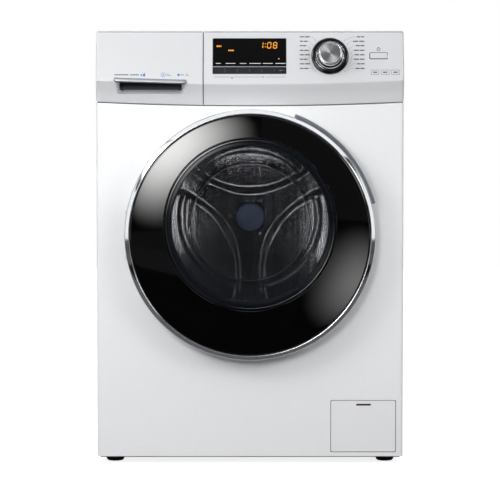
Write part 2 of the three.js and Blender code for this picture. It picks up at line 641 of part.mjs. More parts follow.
function stator() {
  const teeth = 12;
  const s = new THREE.Shape();
  const at = (r, a) => [r * Math.cos(a), r * Math.sin(a)];
  for (let i = 0; i < teeth; i++) {
    const a = (2 * Math.PI * i) / teeth;
    const step = Math.PI / teeth;
    const half = [[62, 0.45], [94, 0.3], [94, 0.8], [101, 0.8]];
    const corners = [
      ...half.map(([r, part]) => at(r, a - part * step)),
      ...half.reverse().map(([r, part]) => at(r, a + part * step)),
    ];
    corners.forEach(([x, z], k) => s[i || k ? "lineTo" : "moveTo"](x, z));
  }
  const hole = new THREE.Path();
  hole.absarc(0, 0, 40.6, 0, 2 * Math.PI, true);
  s.holes.push(hole);
  return extrudedXZ(s, FRONT + 470, FRONT + 494, 12).translate(0, 0, AXIS_Z);
}

// ---------- weights, springs and dampers ----------
function buildSuspension() {
  const low = extrudedXZ(sector(0, AXIS_Z, 193, 258, 200, 340), FRONT + 44, FRONT + 84.5, 20);
  const heaterRoom = box(-42, 42, FRONT + 60, FRONT + 90, AXIS_Z - 270, AXIS_Z - 230);
  piece("counterweight_front", cut(low, heaterRoom), concrete);
  const block = cut(
    box(-80, 190, FRONT + 110, FRONT + 340, 700, 796),
    turned([[0, 90], [TUB_RADIUS + 7.5, 90], [TUB_RADIUS + 7.5, 360], [0, 360]], 0, AXIS_Z),
  );
  piece("counterweight_top", block, concrete);

  for (const [side, word] of [[-1, "left"], [1, "right"]]) {
    piece(`suspension_spring_${word}`, coilSpring(side), steel);
    const [cylinder, rod] = damper(side);
    piece(`damper_cylinder_${word}`, cylinder, greyPlastic);
    piece(`damper_rod_${word}`, rod, steel);
  }
}

function coilSpring(side) {
  const { topX, topZ, lowX, lowZ, y, turns, coil, wire } = SPRING;
  const top = new THREE.Vector3(side * topX, y, topZ);
  const foot = new THREE.Vector3(side * lowX, y, lowZ);
  const along = top.clone().sub(foot).normalize();
  const across = new THREE.Vector3(0, 1, 0);
  const third = along.clone().cross(across);
  const stub = 8;
  const length = top.distanceTo(foot);
  class Coil extends THREE.Curve {
    getPoint(t) {
      const a = 2 * Math.PI * turns * t;
      return foot.clone()
        .addScaledVector(along, stub + (length - 2 * stub) * t)
        .addScaledVector(across, coil * Math.cos(a))
        .addScaledVector(third, coil * Math.sin(a));
    }
  }
  const square = [[-1, -1], [1, -1], [1, 1], [-1, 1]];
  const section = new THREE.Shape(square.map(([u, v]) => new THREE.Vector2(u * wire, v * wire)));
  const options = { steps: turns * 6, extrudePath: new Coil(), bevelEnabled: false };
  const helix = new THREE.ExtrudeGeometry(section, options);
  // Each end has a straight stub on the axis and a crossbar from it to the last turn.
  const end = (start, tip) => {
    const at = (out, sideways) =>
      foot.clone().addScaledVector(along, out).addScaledVector(across, sideways).toArray();
    const crossbar = bar(at(start, -wire * 0.4), at(start, coil + wire * 0.5), wire, 8);
    return [bar(at(start, 0), at(tip, 0), wire, 8), crossbar];
  };
  return joined(helix, ...end(stub, 0.6), ...end(length - stub, length - 0.6));
}

// One damper: a cylinder on the base and a rod on the tub, in line with the two pivots.
function damper(side) {
  const { baseX, baseZ, tubX, tubZ, y } = DAMPER;
  const foot = new THREE.Vector3(side * baseX, y, baseZ);
  const head = new THREE.Vector3(side * tubX, y, tubZ);
  const along = head.clone().sub(foot).normalize();
  const at = (d) => foot.clone().addScaledVector(along, d).toArray();
  const length = foot.distanceTo(head);
  const eye = (centre) => bar([centre.x, y - 9.5, centre.z], [centre.x, y + 9.5, centre.z], 9.5, 16);
  const eyeBore = (centre) => bar([centre.x, y - 20, centre.z], [centre.x, y + 20, centre.z], 5.6, 16);
  const cylinder = cut(
    joined(eye(foot), bar(at(6), at(24), 8), bar(at(22), at(118), 13)),
    bar(at(30), at(130), 7.2, 16),
    eyeBore(foot),
  );
  const rod = cut(joined(eye(head), bar(at(70), at(length - 6), 6, 16)), eyeBore(head));
  return [cylinder, rod];
}

// ---------- water ----------
function buildWater() {
  const { x, z } = FILTER;
  const body = joined(
    turned([[0, 30], [36, 30], [36, 92], [30, 98], [30, 150], [0, 150]], x, z, 28),
    bar([x, FRONT + 75, z + 30], [x, FRONT + 75, z + 56], 13),
    bar([x - 48, FRONT + 80, z + 6], [x - 30, FRONT + 80, z + 6], 17),
    box(x - 30, x + 30, FRONT + 40, FRONT + 90, 22, 45),
  );
  const chamber = turned([[0, 20], [27.4, 20], [27.4, 86], [0, 86]], x, z, 28);
  piece("drain_pump", cut(body, chamber), greyPlastic);
  const plug = joined(
    turned([[0, 11], [30, 11], [31, 13], [31, 29], [26.6, 29], [26.6, 40], [0, 40]], x, z, 28),
    box(x - 24, x + 24, FRONT + 4, FRONT + 12, z - 4, z + 4),
    turned([[0, 39], [20, 39], [17, 80], [0, 80]], x, z, 12),
  );
  piece("filter_plug", plug, bluePlastic);

  const { x0, x1, z0, z1 } = HATCH;
  const leaf = extrudedXZ(roundedRectangle(x0, x1, z0, z1, 2.4), FRONT + 0.1, FRONT + 2.3, 3);
  const slot = box(208, 237.3, FRONT - 5, FRONT + 10, 116.2, 119.8);
  const stiffener = box(x0 + 6, x1 - 6, FRONT + 2.2, FRONT + 3.4, z0 + 5, z0 + 9);
  piece("filter_hatch", cut(joined(leaf, stiffener), slot), whitePlastic);

  const hose = [
    [70, FRONT + 330, 178.4], [70, FRONT + 329, 150], [70, FRONT + 312, 120], [78, FRONT + 250, 96],
    [100, FRONT + 150, 80], [126, FRONT + 92, 80], [168, FRONT + 80, 81],
  ];
  piece("sump_hose", tube(hose, 15, 11, 8), blackRubber);

  const valve = joined(
    bar([INLET.x, BACK - 40, INLET.z], [INLET.x, BACK + REAR_REACH, INLET.z], 13.2),
    box(-252, -218, BACK - 44, BACK - SHEET - FIT, 752, 800),
    bar([INLET.x, BACK - 60, INLET.z - 6], [INLET.x, BACK - 40, INLET.z - 6], 7),
  );
  const bore = bar([INLET.x, BACK - 10, INLET.z], [INLET.x, BACK + 30, INLET.z], 10);
  piece("inlet_valve", cut(valve, bore), whitePlastic);
}

buildCabinet();
buildFeet();
buildFascia();
buildDrawer();
buildDoor();
buildGasket();
buildTub();
buildDrum();
buildSuspension();
buildWater();

export default root;
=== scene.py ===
import math

import bmesh
import bpy
from mathutils import Matrix, Vector


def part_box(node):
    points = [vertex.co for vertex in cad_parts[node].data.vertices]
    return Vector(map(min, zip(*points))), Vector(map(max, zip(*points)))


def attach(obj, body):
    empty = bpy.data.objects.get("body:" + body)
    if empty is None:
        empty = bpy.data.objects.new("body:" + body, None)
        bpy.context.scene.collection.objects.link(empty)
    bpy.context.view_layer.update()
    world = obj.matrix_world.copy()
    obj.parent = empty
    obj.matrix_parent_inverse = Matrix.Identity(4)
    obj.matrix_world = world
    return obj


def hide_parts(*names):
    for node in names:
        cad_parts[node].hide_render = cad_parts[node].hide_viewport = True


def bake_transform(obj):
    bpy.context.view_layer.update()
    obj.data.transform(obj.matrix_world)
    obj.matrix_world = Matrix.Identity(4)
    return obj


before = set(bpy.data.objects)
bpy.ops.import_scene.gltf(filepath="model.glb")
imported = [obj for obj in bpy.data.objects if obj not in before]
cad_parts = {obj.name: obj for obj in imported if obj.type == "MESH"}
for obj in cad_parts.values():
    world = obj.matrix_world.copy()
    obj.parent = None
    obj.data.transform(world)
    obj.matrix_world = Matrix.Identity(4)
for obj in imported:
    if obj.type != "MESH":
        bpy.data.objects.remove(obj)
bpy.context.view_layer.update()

# The front-loading washing machine, dressed piece by piece over its frame.
# Shapes are written in millimetres and come to metres in one place, newPiece.
scene = bpy.context.scene
mm = 0.001


def span(node):
    low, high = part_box(node)
    return [v / mm for v in low], [v / mm for v in high]


# Driving places from the frame, then three that give the fascia its shape
side = span("cabinet_shell")[1][0]
backY = span("cabinet_shell")[1][1]
frontY = span("front_panel")[0][1]
baseZ = span("front_panel")[0][2]
topZ = span("top_cover")[1][2]
worktopZ = span("top_cover")[0][2]
worktopY = span("top_cover")[0][1]
seamZ0 = span("control_panel")[0][2]
creaseY = span("control_panel")[0][1]
axisZ = (span("drum")[0][2] + span("drum")[1][2]) / 2
doorZ = (span("door_trim_ring")[0][2] + span("door_trim_ring")[1][2]) / 2
creaseZ0 = 745.0
sag = 7.0  # rise of the crease and the seam from the middle to the corners
faceTilt = math.radians(10)


def linked(name, data):
    obj = bpy.data.objects.new(name, data)
    scene.collection.objects.link(obj)
    return obj


def newPiece(name, verts, faces, sharp=32):
    mesh = bpy.data.meshes.new(name)
    mesh.from_pydata([Vector(v) * mm for v in verts], [], faces)
    build = bmesh.new()
    build.from_mesh(mesh)
    bmesh.ops.remove_doubles(build, verts=build.verts, dist=2e-6)
    bmesh.ops.recalc_face_normals(build, faces=build.faces)
    build.to_mesh(mesh)
    build.free()
    obj = linked(name, mesh)
    shadeSmooth(obj, sharp)
    return obj


# Smooth shading, with hard edges at folds and where a large flat face meets a small rounded one.
def shadeSmooth(obj, sharp=32, slight=0.08, muchLarger=12):
    build = bmesh.new()
    build.from_mesh(obj.data)
    areas = [face.calc_area() for face in build.faces]
    build.faces.index_update()
    for face in build.faces:
        face.smooth = True
    for edge in build.edges:
        angle = edge.calc_face_angle(0)
        hard = angle > math.radians(sharp)
        if not hard and angle > slight and len(edge.link_faces) == 2:
            a, b = (areas[face.index] for face in edge.link_faces)
            hard = max(a, b) > muchLarger * min(a, b)
        edge.smooth = not hard
    build.to_mesh(obj.data)
    build.free()


def bakeModifiers(obj):
    graph = bpy.context.evaluated_depsgraph_get()
    mesh = bpy.data.meshes.new_from_object(obj.evaluated_get(graph))
    obj.modifiers.clear()
    obj.data = mesh


def carve(obj, *cutters, operation="DIFFERENCE", sharp=32):
    for cutter in cutters:
        step = obj.modifiers.new("carve", "BOOLEAN")
        step.object, step.operation, step.solver = cutter, operation, "EXACT"
    bakeModifiers(obj)
    for cutter in cutters:
        bpy.data.objects.remove(cutter)
    shadeSmooth(obj, sharp)
    return obj


def join(name, objs, sharp=32):
    build = bmesh.new()
    for obj in objs:
        build.from_mesh(obj.data)
        bpy.data.objects.remove(obj)
    mesh = bpy.data.meshes.new(name)
    build.to_mesh(mesh)
    build.free()
    whole = linked(name, mesh)
    shadeSmooth(whole, sharp)
    return whole


def place(obj, matrix):
    obj.data.transform(matrix)
    return obj


def turnAbout(obj, degrees, axis="Y", centre=(0, 0, 0)):
    point = Vector(centre) * mm
    turn = Matrix.Rotation(math.radians(degrees), 4, axis)
    return place(obj, Matrix.Translation(point) @ turn @ Matrix.Translation(-point))


def moved(obj, x, y, z):
    return place(obj, Matrix.Translation(Vector((x, y, z)) * mm))


def copyOf(obj, name):
    twin = obj.copy()
    twin.data = obj.data.copy()
    twin.name = twin.data.name = name
    scene.collection.objects.link(twin)
    return twin


# Rounds each corner of an outline with a short curve. Radius may be one number or one for each point.
def softened(points, radius, steps=4, closed=True):
    radii = radius if isinstance(radius, (list, tuple)) else [radius] * len(points)
    out = []
    for i, point in enumerate(points):
        here = Vector(point)
        if not closed and i in (0, len(points) - 1) or radii[i] <= 0:
            out.append(tuple(here))
            continue
        before, after = Vector(points[i - 1]), Vector(points[(i + 1) % len(points)])
        a, b = before - here, after - here
        reach = min(radii[i], a.length * 0.48, b.length * 0.48)
        start, end = here + a.normalized() * reach, here + b.normalized() * reach
        for k in range(steps + 1):
            t = k / steps
            out.append(tuple(start * (1 - t) ** 2 + here * 2 * t * (1 - t) + end * t**2))
    return out


# A profile of [radius, y] points, y counted from the front sheet, turned about a front-to-back axis.
def turned(name, profile, x=0.0, z=None, facets=144, sharp=32):
    z = axisZ if z is None else z
    count = len(profile)
    openEnds = profile[0][0] == 0 and profile[-1][0] == 0
    verts, faces = [], []
    for k in range(facets):
        a = 2 * math.pi * k / facets
        verts += [(x + r * math.cos(a), frontY + y, z + r * math.sin(a)) for r, y in profile]
    for k in range(facets):
        for i in range(count - 1 if openEnds else count):
            j, m = (i + 1) % count, (k + 1) % facets
            faces.append((k * count + i, k * count + j, m * count + j, m * count + i))
    return newPiece(name, verts, faces, sharp)


# The same, turned about an upright axis: [radius, z] points.
def turnedUp(name, profile, x, y, facets=64, sharp=32):
    obj = turned(name, [(r, -h - frontY) for r, h in profile], 0, 0, facets, sharp)
    return moved(turnAbout(obj, -90, "X"), x, y, 0)


# An outline in X and Z, pulled from lowY to highY, with its long edges eased.
def extruded(name, outline, lowY, highY, ease=0.0, steps=2, sharp=32):
    count = len(outline)
    verts = [(x, lowY, z) for x, z in outline] + [(x, highY, z) for x, z in outline]
    faces = [tuple(range(count)), tuple(range(2 * count - 1, count - 1, -1))]
    faces += [(i, (i + 1) % count, count + (i + 1) % count, count + i) for i in range(count)]
    obj = newPiece(name, verts, faces, sharp)
    if ease:
        easeEdges(obj, ease, steps, sharp)
    return obj


def easeEdges(obj, width, steps=2, sharp=32, angle=50):
    step = obj.modifiers.new("ease", "BEVEL")
    step.width, step.segments, step.limit_method = width * mm, steps, "ANGLE"
    step.angle_limit = math.radians(angle)
    bakeModifiers(obj)
    shadeSmooth(obj, sharp)
    return obj


def roundedRect(x0, x1, z0, z1, radius, steps=5):
    return softened([(x0, z0), (x1, z0), (x1, z1), (x0, z1)], radius, steps)


def block(name, x0, x1, y0, y1, z0, z1, corner=1.0, ease=0.4):
    return extruded(name, roundedRect(x0, x1, z0, z1, corner, 3), y0, y1, ease)


# Closed sections with the same number of points, skinned and capped.
def lofted(name, sections, sharp=32):
    count = len(sections[0])
    verts = [p for section in sections for p in section]
    faces = [tuple(range(count)), tuple(range(len(verts) - 1, len(verts) - count - 1, -1))]
    for i in range(len(sections) - 1):
        for k in range(count):
            a, b = i * count + k, i * count + (k + 1) % count
            faces.append((a, b, b + count, a + count))
    return newPiece(name, verts, faces, sharp)


# A round bar that follows a list of points, straight between them or on a smooth curve.
def tube(name, points, radius, sides=20, smoothSteps=0, ends=None):
    path = [Vector(p) for p in points]
    if smoothSteps:
        path = smoothPath(path, smoothSteps)
    radii = ends if ends else [radius] * len(path)
    tangent = (path[1] - path[0]).normalized()
    across = tangent.orthogonal().normalized()
    sections = []
    for i, point in enumerate(path):
        ahead = path[min(i + 1, len(path) - 1)] - path[max(i - 1, 0)]
        turn = tangent.rotation_difference(ahead.normalized())
        tangent, across = ahead.normalized(), (turn @ across).normalized()
        third = tangent.cross(across)
        ring = []
        for k in range(sides):
            a = 2 * math.pi * k / sides
            ring.append(tuple(point + (across * math.cos(a) + third * math.sin(a)) * radii[i]))
        sections.append(ring)
    return lofted(name, sections)


def smoothPath(path, steps):
    out = []
    for i in range(len(path) - 1):
        a, b, c, d = path[max(i - 1, 0)], path[i], path[i + 1], path[min(i + 2, len(path) - 1)]
        for k in range(steps):
            t = k / steps
            out.append(0.5 * (2 * b + (c - a) * t + (2 * a - 5 * b + 4 * c - d) * t**2
                              + (3 * b - a - 3 * c + d) * t**3))
    return out + [path[-1]]


def dress(obj, body, finish, slot, *nodes):
    obj.data.materials.clear()
    obj.data.materials.append(finishes[finish])
    obj.data.polygons.foreach_set("material_index", [0] * len(obj.data.polygons))
    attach(obj, body)
    if nodes:
        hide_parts(*nodes)
    return obj


def addNode(tree, kind, settings=None, links=None):
    node = tree.nodes.new(kind)
    for key, value in (settings or {}).items():
        if isinstance(key, str) and hasattr(node, key):
            setattr(node, key, value)
        else:
            node.inputs[key].default_value = value
    for key, (source, output) in (links or {}).items():
        tree.links.new(source.outputs[output], node.inputs[key])
    return node


def hexColor(text):
    parts = [int(text[i:i + 2], 16) / 255 for i in (1, 3, 5)]
    return tuple(c / 12.92 if c <= 0.04045 else ((c + 0.055) / 1.055) ** 2.4 for c in parts) + (1.0,)


def emptyMaterial(name):
    material = bpy.data.materials.new(name)
    material.use_nodes = True
    material.node_tree.nodes.clear()
    return material, material.node_tree


# A Principled material whose colour and roughness drift a little with one fine pattern, which also lifts
# the surface. grain is the pattern's real size in millimetres, and stretch draws it out along an axis.
def surface(name, colour, shade, roughness, grain, lift=0.0, metallic=0.0, stretch=(1, 1, 1),
            centre=(0, 0, 0), pattern="noise", **shader):
    material, tree = emptyMaterial(name)
    settings = {"Metallic": metallic, **{key.replace("_", " "): value for key, value in shader.items()}}
    body = addNode(tree, "ShaderNodeBsdfPrincipled", settings)
    addNode(tree, "ShaderNodeOutputMaterial", links={"Surface": (body, "BSDF")})
    coords = addNode(tree, "ShaderNodeTexCoord")
    mapping = addNode(tree, "ShaderNodeMapping",
                      {"Location": [-c * s * mm for c, s in zip(centre, stretch)], "Scale": stretch},
                      {"Vector": (coords, "Object")})
    size = {"Scale": 1 / (grain * mm)}
    if pattern == "cells":
        texture = addNode(tree, "ShaderNodeTexVoronoi", size, {"Vector": (mapping, "Vector")})
        value = (texture, "Color")
    else:
        texture = addNode(tree, "ShaderNodeTexNoise", {**size, "Detail": 4, "Roughness": 0.6},
                          {"Vector": (mapping, "Vector")})
        value = (texture, "Fac")
    ramp = addNode(tree, "ShaderNodeValToRGB", links={"Fac": value})
    ramp.color_ramp.elements[0].position, ramp.color_ramp.elements[1].position = 0.32, 0.7
    ramp.color_ramp.elements[0].color = hexColor(shade)
    ramp.color_ramp.elements[1].color = hexColor(colour)
    tree.links.new(ramp.outputs["Color"], body.inputs["Base Color"])
    rough = addNode(tree, "ShaderNodeMapRange", {"To Min": roughness[0], "To Max": roughness[1]},
                    {"Value": value})
    tree.links.new(rough.outputs["Result"], body.inputs["Roughness"])
    if lift:
        bump = addNode(tree, "ShaderNodeBump", {"Strength": 1.0, "Distance": lift * mm}, {"Height": value})
        tree.links.new(bump.outputs["Normal"], body.inputs["Normal"])
    return material


def makeFinishes():
    return {
        # Polyester powder coat on steel sheet: a soft gloss with a faint orange peel
        "powderCoat": surface("powderCoatWhite", "#f5f6f7", "#f1f2f4", (0.30, 0.36), 2.2, 0.004, IOR=1.5),
        # Melamine laminate on chipboard: a little flatter, with a fine pressed texture
        "laminate": surface("melamineLaminateWhite", "#f4f5f6", "#eff1f2", (0.38, 0.46), 0.9, 0.006, IOR=1.5),
        # Injection-moulded ABS with a satin tool finish
        "abs": surface("mouldedAbsWhite", "#d9dbde", "#d5d7da", (0.30, 0.36), 0.8, 0.003, IOR=1.53),
        # Natural polypropylene: milky, softer gloss
        "polypropylene": surface("polypropyleneWhite", "#e4e7e9", "#dcdfe1", (0.38, 0.48), 1.5, 0.004,
                                 IOR=1.49),
        # High-gloss black acrylic: almost no colour, everything it shows is a reflection
        "acrylicBlack": surface("acrylicBlack", "#050506", "#040405", (0.045, 0.06), 40, IOR=1.49,
                                Coat_Weight=0.6, Coat_Roughness=0.03),
        # Electroplated bright chrome on plastic
        "chrome": surface("brightChromePlate", "#e6e8ea", "#dfe1e4", (0.07, 0.11), 12, metallic=1.0),
        # Metallic lacquer, a cool grey with fine flake
        "metallicLacquer": surface("metallicLacquerGrey", "#8d949e", "#7b828c", (0.24, 0.34), 0.5,
                                   metallic=0.75, Coat_Weight=0.5, Coat_Roughness=0.08),
        # Ferritic stainless sheet, brushed round the drum
        "stainless": surface("stainlessSheetBrushed", "#b9bbbd", "#9fa2a5", (0.22, 0.36), 0.6, 0.002,
                             metallic=1.0, stretch=(1, 0.06, 1)),
        # Zinc-plated steel, clear passivated: pale grey with a crystal drift
        "zinc": surface("zincPlatedSteel", "#bcc0c2", "#b2b6b9", (0.38, 0.46), 4, 0.001, metallic=0.8,
                        pattern="cells"),
        # Bright drawn or ground steel
        "groundSteel": surface("groundSteel", "#c3c6c8", "#aeb1b4", (0.18, 0.28), 0.5, 0.001, metallic=1.0,
                               stretch=(1, 0.1, 1)),
        # Aluminium as it leaves the die: grey, grainy
        "castAlloy": surface("castAluminium", "#b0b3b5", "#989b9e", (0.45, 0.62), 1.2, 0.03, metallic=0.9),
        # EPDM seal rubber: grey, matt, slightly waxy
        "sealRubber": surface("sealRubberGrey", "#6d7176", "#5f6368", (0.5, 0.62), 3, 0.01, IOR=1.5,
                              Sheen_Weight=0.15, Sheen_Roughness=0.5),
        # Black rubber with chalky bloom
        "blackRubber": surface("blackRubber", "#26272a", "#1b1c1e", (0.6, 0.78), 1.4, 0.02, IOR=1.5),
        # Glass-filled polypropylene tub: grey with short fibres near the surface
        "tubPlastic": surface("filledPolypropyleneGrey", "#a6aaad", "#969a9e", (0.42, 0.58), 1.8, 0.02,
                              stretch=(1, 0.4, 1), IOR=1.49),
        "darkPlastic": surface("mouldedPlasticGraphite", "#4b4f54", "#41454a", (0.36, 0.46), 0.8, 0.006,
                               IOR=1.5),
        "bluePlastic": surface("mouldedPolypropyleneBlue", "#4c86c6", "#3f76b4", (0.32, 0.4), 1.2, 0.003,
                               IOR=1.49),
        "circuitBoard": surface("circuitBoardLacquered", "#23643f", "#1a5233", (0.22, 0.34), 2.4, 0.02,
                                pattern="cells", IOR=1.55),
        "copper": surface("enamelledCopperWire", "#b8683a", "#8f4a26", (0.26, 0.4), 0.7, 0.08, metallic=0.85,
                          stretch=(1, 1, 0.2)),
        # Cast concrete with cement bloom and pinholes
        "concrete": surface("castConcrete", "#9d9a94", "#7f7c77", (0.82, 0.95), 4.5, 0.35),
        "greyInk": surface("screenInkGrey", "#777b82", "#6c7077", (0.45, 0.5), 2),
        "darkInk": surface("screenInkCharcoal", "#3a3d42", "#33363a", (0.45, 0.5), 2),
        "whiteInk": surface("screenInkWhite", "#e6e8ea", "#dcdee0", (0.4, 0.5), 2),
        "blueInk": surface("screenInkBlue", "#2f78c8", "#2468b4", (0.4, 0.5), 2),
    }


# Glass that is dark or clear but thin: see-through by alpha, so the lights still reach what is behind it.
def thinGlass(name, colour, alpha, roughness, **shader):
    material, tree = emptyMaterial(name)
    body = addNode(tree, "ShaderNodeBsdfPrincipled",
                   {"Base Color": hexColor(colour), "Alpha": alpha, "Roughness": roughness,
                    **{key.replace("_", " "): value for key, value in shader.items()}})
    addNode(tree, "ShaderNodeOutputMaterial", links={"Surface": (body, "BSDF")})
    coords = addNode(tree, "ShaderNodeTexCoord")
    ripple = addNode(tree, "ShaderNodeTexNoise", {"Scale": 18.0, "Detail": 1.0},
                     {"Vector": (coords, "Object")})
    bump = addNode(tree, "ShaderNodeBump", {"Strength": 0.5, "Distance": 0.00005},
                   {"Height": (ripple, "Fac")})
    tree.links.new(bump.outputs["Normal"], body.inputs["Normal"])
    return material


def bodyOf(material):
    return next(node for node in material.node_tree.nodes if node.type == "BSDF_PRINCIPLED")


def lampMaterial(name, colour, strength):
    material = surface(name, colour, colour, (0.4, 0.5), 3)
    body = bodyOf(material)
    body.inputs["Emission Color"].default_value = hexColor(colour)
    body.inputs["Emission Strength"].default_value = strength
    return material


def makeStage():
    view = {"from": (0, -3.754, 0.600), "tilt": 2.0, "lens": 128.97, "shiftY": -0.057}
    lensData = bpy.data.cameras.new("camera")
    lensData.sensor_width, lensData.lens, lensData.shift_y = 36.0, view["lens"], view["shiftY"]
    camera = linked("camera", lensData)
    camera.location = view["from"]
    camera.rotation_euler = (math.radians(90 - view["tilt"]), 0, 0)
    scene.camera = camera
    scene.view_settings.view_transform = "Standard"

    # White to the eye; to everything else a studio that is dark behind the camera and pale all round
    world = bpy.data.worlds.new("studio")
    scene.world = world
    world.use_nodes = True
    tree = world.node_tree
    tree.nodes.clear()
    coords = addNode(tree, "ShaderNodeTexCoord")
    toFront = addNode(tree, "ShaderNodeVectorMath", {"operation": "DOT_PRODUCT", 1: (0, -1, 0)},
                      {0: (coords, "Generated")})
    ramp = addNode(tree, "ShaderNodeValToRGB", links={"Fac": (toFront, "Value")})
    stops = [(0.0, 0.50), (0.16, 0.70), (0.38, 1.15), (0.62, 0.80), (0.80, 0.24), (0.93, 0.06), (1.0, 0.045)]
    for at, level in stops[1:-1]:
        ramp.color_ramp.elements.new(at)
    for element, (at, level) in zip(ramp.color_ramp.elements, stops):
        element.position, element.color = at, (level, level, level * 1.015, 1)
    path = addNode(tree, "ShaderNodeLightPath")
    room = addNode(tree, "ShaderNodeBackground", links={"Color": (ramp, "Color")})
    plain = addNode(tree, "ShaderNodeBackground", {"Color": (1, 1, 1, 1)})
    both = addNode(tree, "ShaderNodeMixShader", links={0: (path, "Is Camera Ray"), 1: (room, "Background"),
                                                       2: (plain, "Background")})
    addNode(tree, "ShaderNodeOutputWorld", links={"Surface": (both, "Shader")})

    floor = newPiece("floor", [(-6000, -6000, 0), (6000, -6000, 0), (6000, 6000, 0), (-6000, 6000, 0)],
                     [(0, 1, 2, 3)])
    # A matt paper sweep, which shows only a contact shadow
    material, tree = emptyMaterial("seamlessPaperWhite")
    coords = addNode(tree, "ShaderNodeTexCoord")
    grain = addNode(tree, "ShaderNodeTexNoise", {"Scale": 40.0}, {"Vector": (coords, "Object")})
    ramp = addNode(tree, "ShaderNodeValToRGB", links={"Fac": (grain, "Fac")})
    for element, shade in zip(ramp.color_ramp.elements, ("#e9eaeb", "#eeefef")):
        element.color = hexColor(shade)
    path = addNode(tree, "ShaderNodeLightPath")
    diffuse = addNode(tree, "ShaderNodeBsdfDiffuse", links={"Color": (ramp, "Color")})
    glow = addNode(tree, "ShaderNodeEmission", {"Color": (1, 1, 1, 1), "Strength": 0.85})
    seen = addNode(tree, "ShaderNodeAddShader", links={0: (diffuse, "BSDF"), 1: (glow, "Emission")})
    dim = addNode(tree, "ShaderNodeBsdfDiffuse", {"Color": (0.12, 0.12, 0.125, 1)})
    both = addNode(tree, "ShaderNodeMixShader", links={0: (path, "Is Camera Ray"), 1: (dim, "BSDF"),
                                                       2: (seen, "Shader")})
    addNode(tree, "ShaderNodeOutputMaterial", links={"Surface": (both, "Shader")})
    floor.data.materials.append(material)


# A soft light: a flat card that glows most in its middle and dies away to its edges, so that it shows in
# gloss as a patch with soft sides. The eye doesn't see the card itself.
def softLight(name, centre, target, width, height, glow, falloff=0.55):
    w, h = width / 2, height / 2
    mesh = bpy.data.meshes.new(name)
    mesh.from_pydata([(-w, -h, 0), (w, -h, 0), (w, h, 0), (-w, h, 0)], [], [(0, 1, 2, 3)])
    card = linked(name, mesh)
    card.location = centre
    card.rotation_euler = (Vector(target) - Vector(centre)).to_track_quat("Z", "Y").to_euler()
    material, tree = emptyMaterial(name)
    coords = addNode(tree, "ShaderNodeTexCoord")
    mapping = addNode(tree, "ShaderNodeMapping", {"Scale": (1 / w, 1 / h, 1)}, {"Vector": (coords, "Object")})
    power = addNode(tree, "ShaderNodeVectorMath", {"operation": "LENGTH"}, {0: (mapping, "Vector")})
    ramp = addNode(tree, "ShaderNodeMapRange", {"interpolation_type": "SMOOTHSTEP", "From Min": 1 - falloff,
                                                "From Max": 1.0, "To Min": glow, "To Max": 0.0},
                   {"Value": (power, "Value")})
    front = addNode(tree, "ShaderNodeNewGeometry")
    oneSide = addNode(tree, "ShaderNodeMath", {"operation": "SUBTRACT", 0: 1.0}, {1: (front, "Backfacing")})
    strength = addNode(tree, "ShaderNodeMath", {"operation": "MULTIPLY"},
                       {0: (ramp, "Result"), 1: (oneSide, "Value")})
    lamp = addNode(tree, "ShaderNodeEmission", {"Color": (1, 0.995, 0.985, 1)},
                   {"Strength": (strength, "Value")})
    addNode(tree, "ShaderNodeOutputMaterial", links={"Surface": (lamp, "Emission")})
    mesh.materials.append(material)
    card.visible_camera = False
    card.visible_shadow = False


makeStage()
softLight("key", (-0.515, -2.05, 0.955), (-0.10, -0.30, 0.60), 1.20, 1.14, 13.4, 0.95)
softLight("highKey", (-1.95, -1.60, 1.90), (-0.05, -0.25, 0.50), 1.30, 1.30, 13.0)
softLight("fill", (0.47, -1.20, 0.205), (0.20, -0.30, 0.34), 0.60, 0.54, 2.3, 1.0)
bpy.data.objects["fill"].visible_diffuse = False  # it only shows in the gloss
softLight("rightWall", (1.80, -1.60, 1.35), (0.15, -0.25, 0.60), 1.20, 1.20, 7.6)
softLight("overhead", (0.0, -0.10, 2.20), (0.0, -0.05, 0.40), 1.60, 1.20, 1.9)


# Lamps inside the drum, and black cloths: one on the floor keeps the lower glass dark, and one at each
# side of the front darkens the edges of what the chrome mirrors.
def makeInnerLights():
    lamps = {"drumTop": ((0.0, -0.105, 0.625), (0, 0.16, 0.40), 0.17, 0.012, 0.20),
             "drumLeft": ((-0.165, -0.10, 0.47), (0.0, 0.17, 0.46), 0.010, 0.15, 0.17),
             "drumRight": ((0.165, -0.10, 0.45), (0.0, 0.17, 0.48), 0.010, 0.15, 0.17)}
    for name, (centre, target, width, height, watts) in lamps.items():
        data = bpy.data.lights.new(name, "AREA")
        data.shape, data.size, data.size_y, data.energy = "RECTANGLE", width, height, watts
        lamp = linked(name, data)
        lamp.location = centre
        lamp.rotation_euler = (Vector(target) - Vector(centre)).to_track_quat("-Z", "Y").to_euler()
        lamp.visible_camera = False
    flag = newPiece("flag", [(-1600, -3400, 1), (1600, -3400, 1), (1600, -640, 1), (-1600, -640, 1)],
                    [(0, 1, 2, 3)])
    material = bpy.data.materials.new("blackVelvet")  # matt black cloth
    material.use_nodes = True
    flagBody = bodyOf(material)
    flagBody.inputs["Base Color"].default_value = (0.004, 0.004, 0.004, 1)
    flagBody.inputs["Roughness"].default_value = 1.0
    flagBody.inputs["Specular IOR Level"].default_value = 0.0
    strips = [newPiece(name, [(x, -258, 10), (x, -205, 10), (x, -205, 860), (x, -258, 860)], [(0, 1, 2, 3)])
              for name, x in (("flagLeft", -328), ("flagRight", 328))]
    for cloth in (flag, *strips):
        cloth.data.materials.append(material)
        cloth.visible_camera = cloth.visible_transmission = False
        cloth.visible_diffuse = cloth.visible_shadow = cloth is not flag


makeInnerLights()
finishes = makeFinishes()
# Polycarbonate tinted in the mould: the door's lens, dark but still see-through
finishes["smokedLens"] = thinGlass("polycarbonateSmoked", "#07080b", 0.50, 0.035, IOR=1.50)
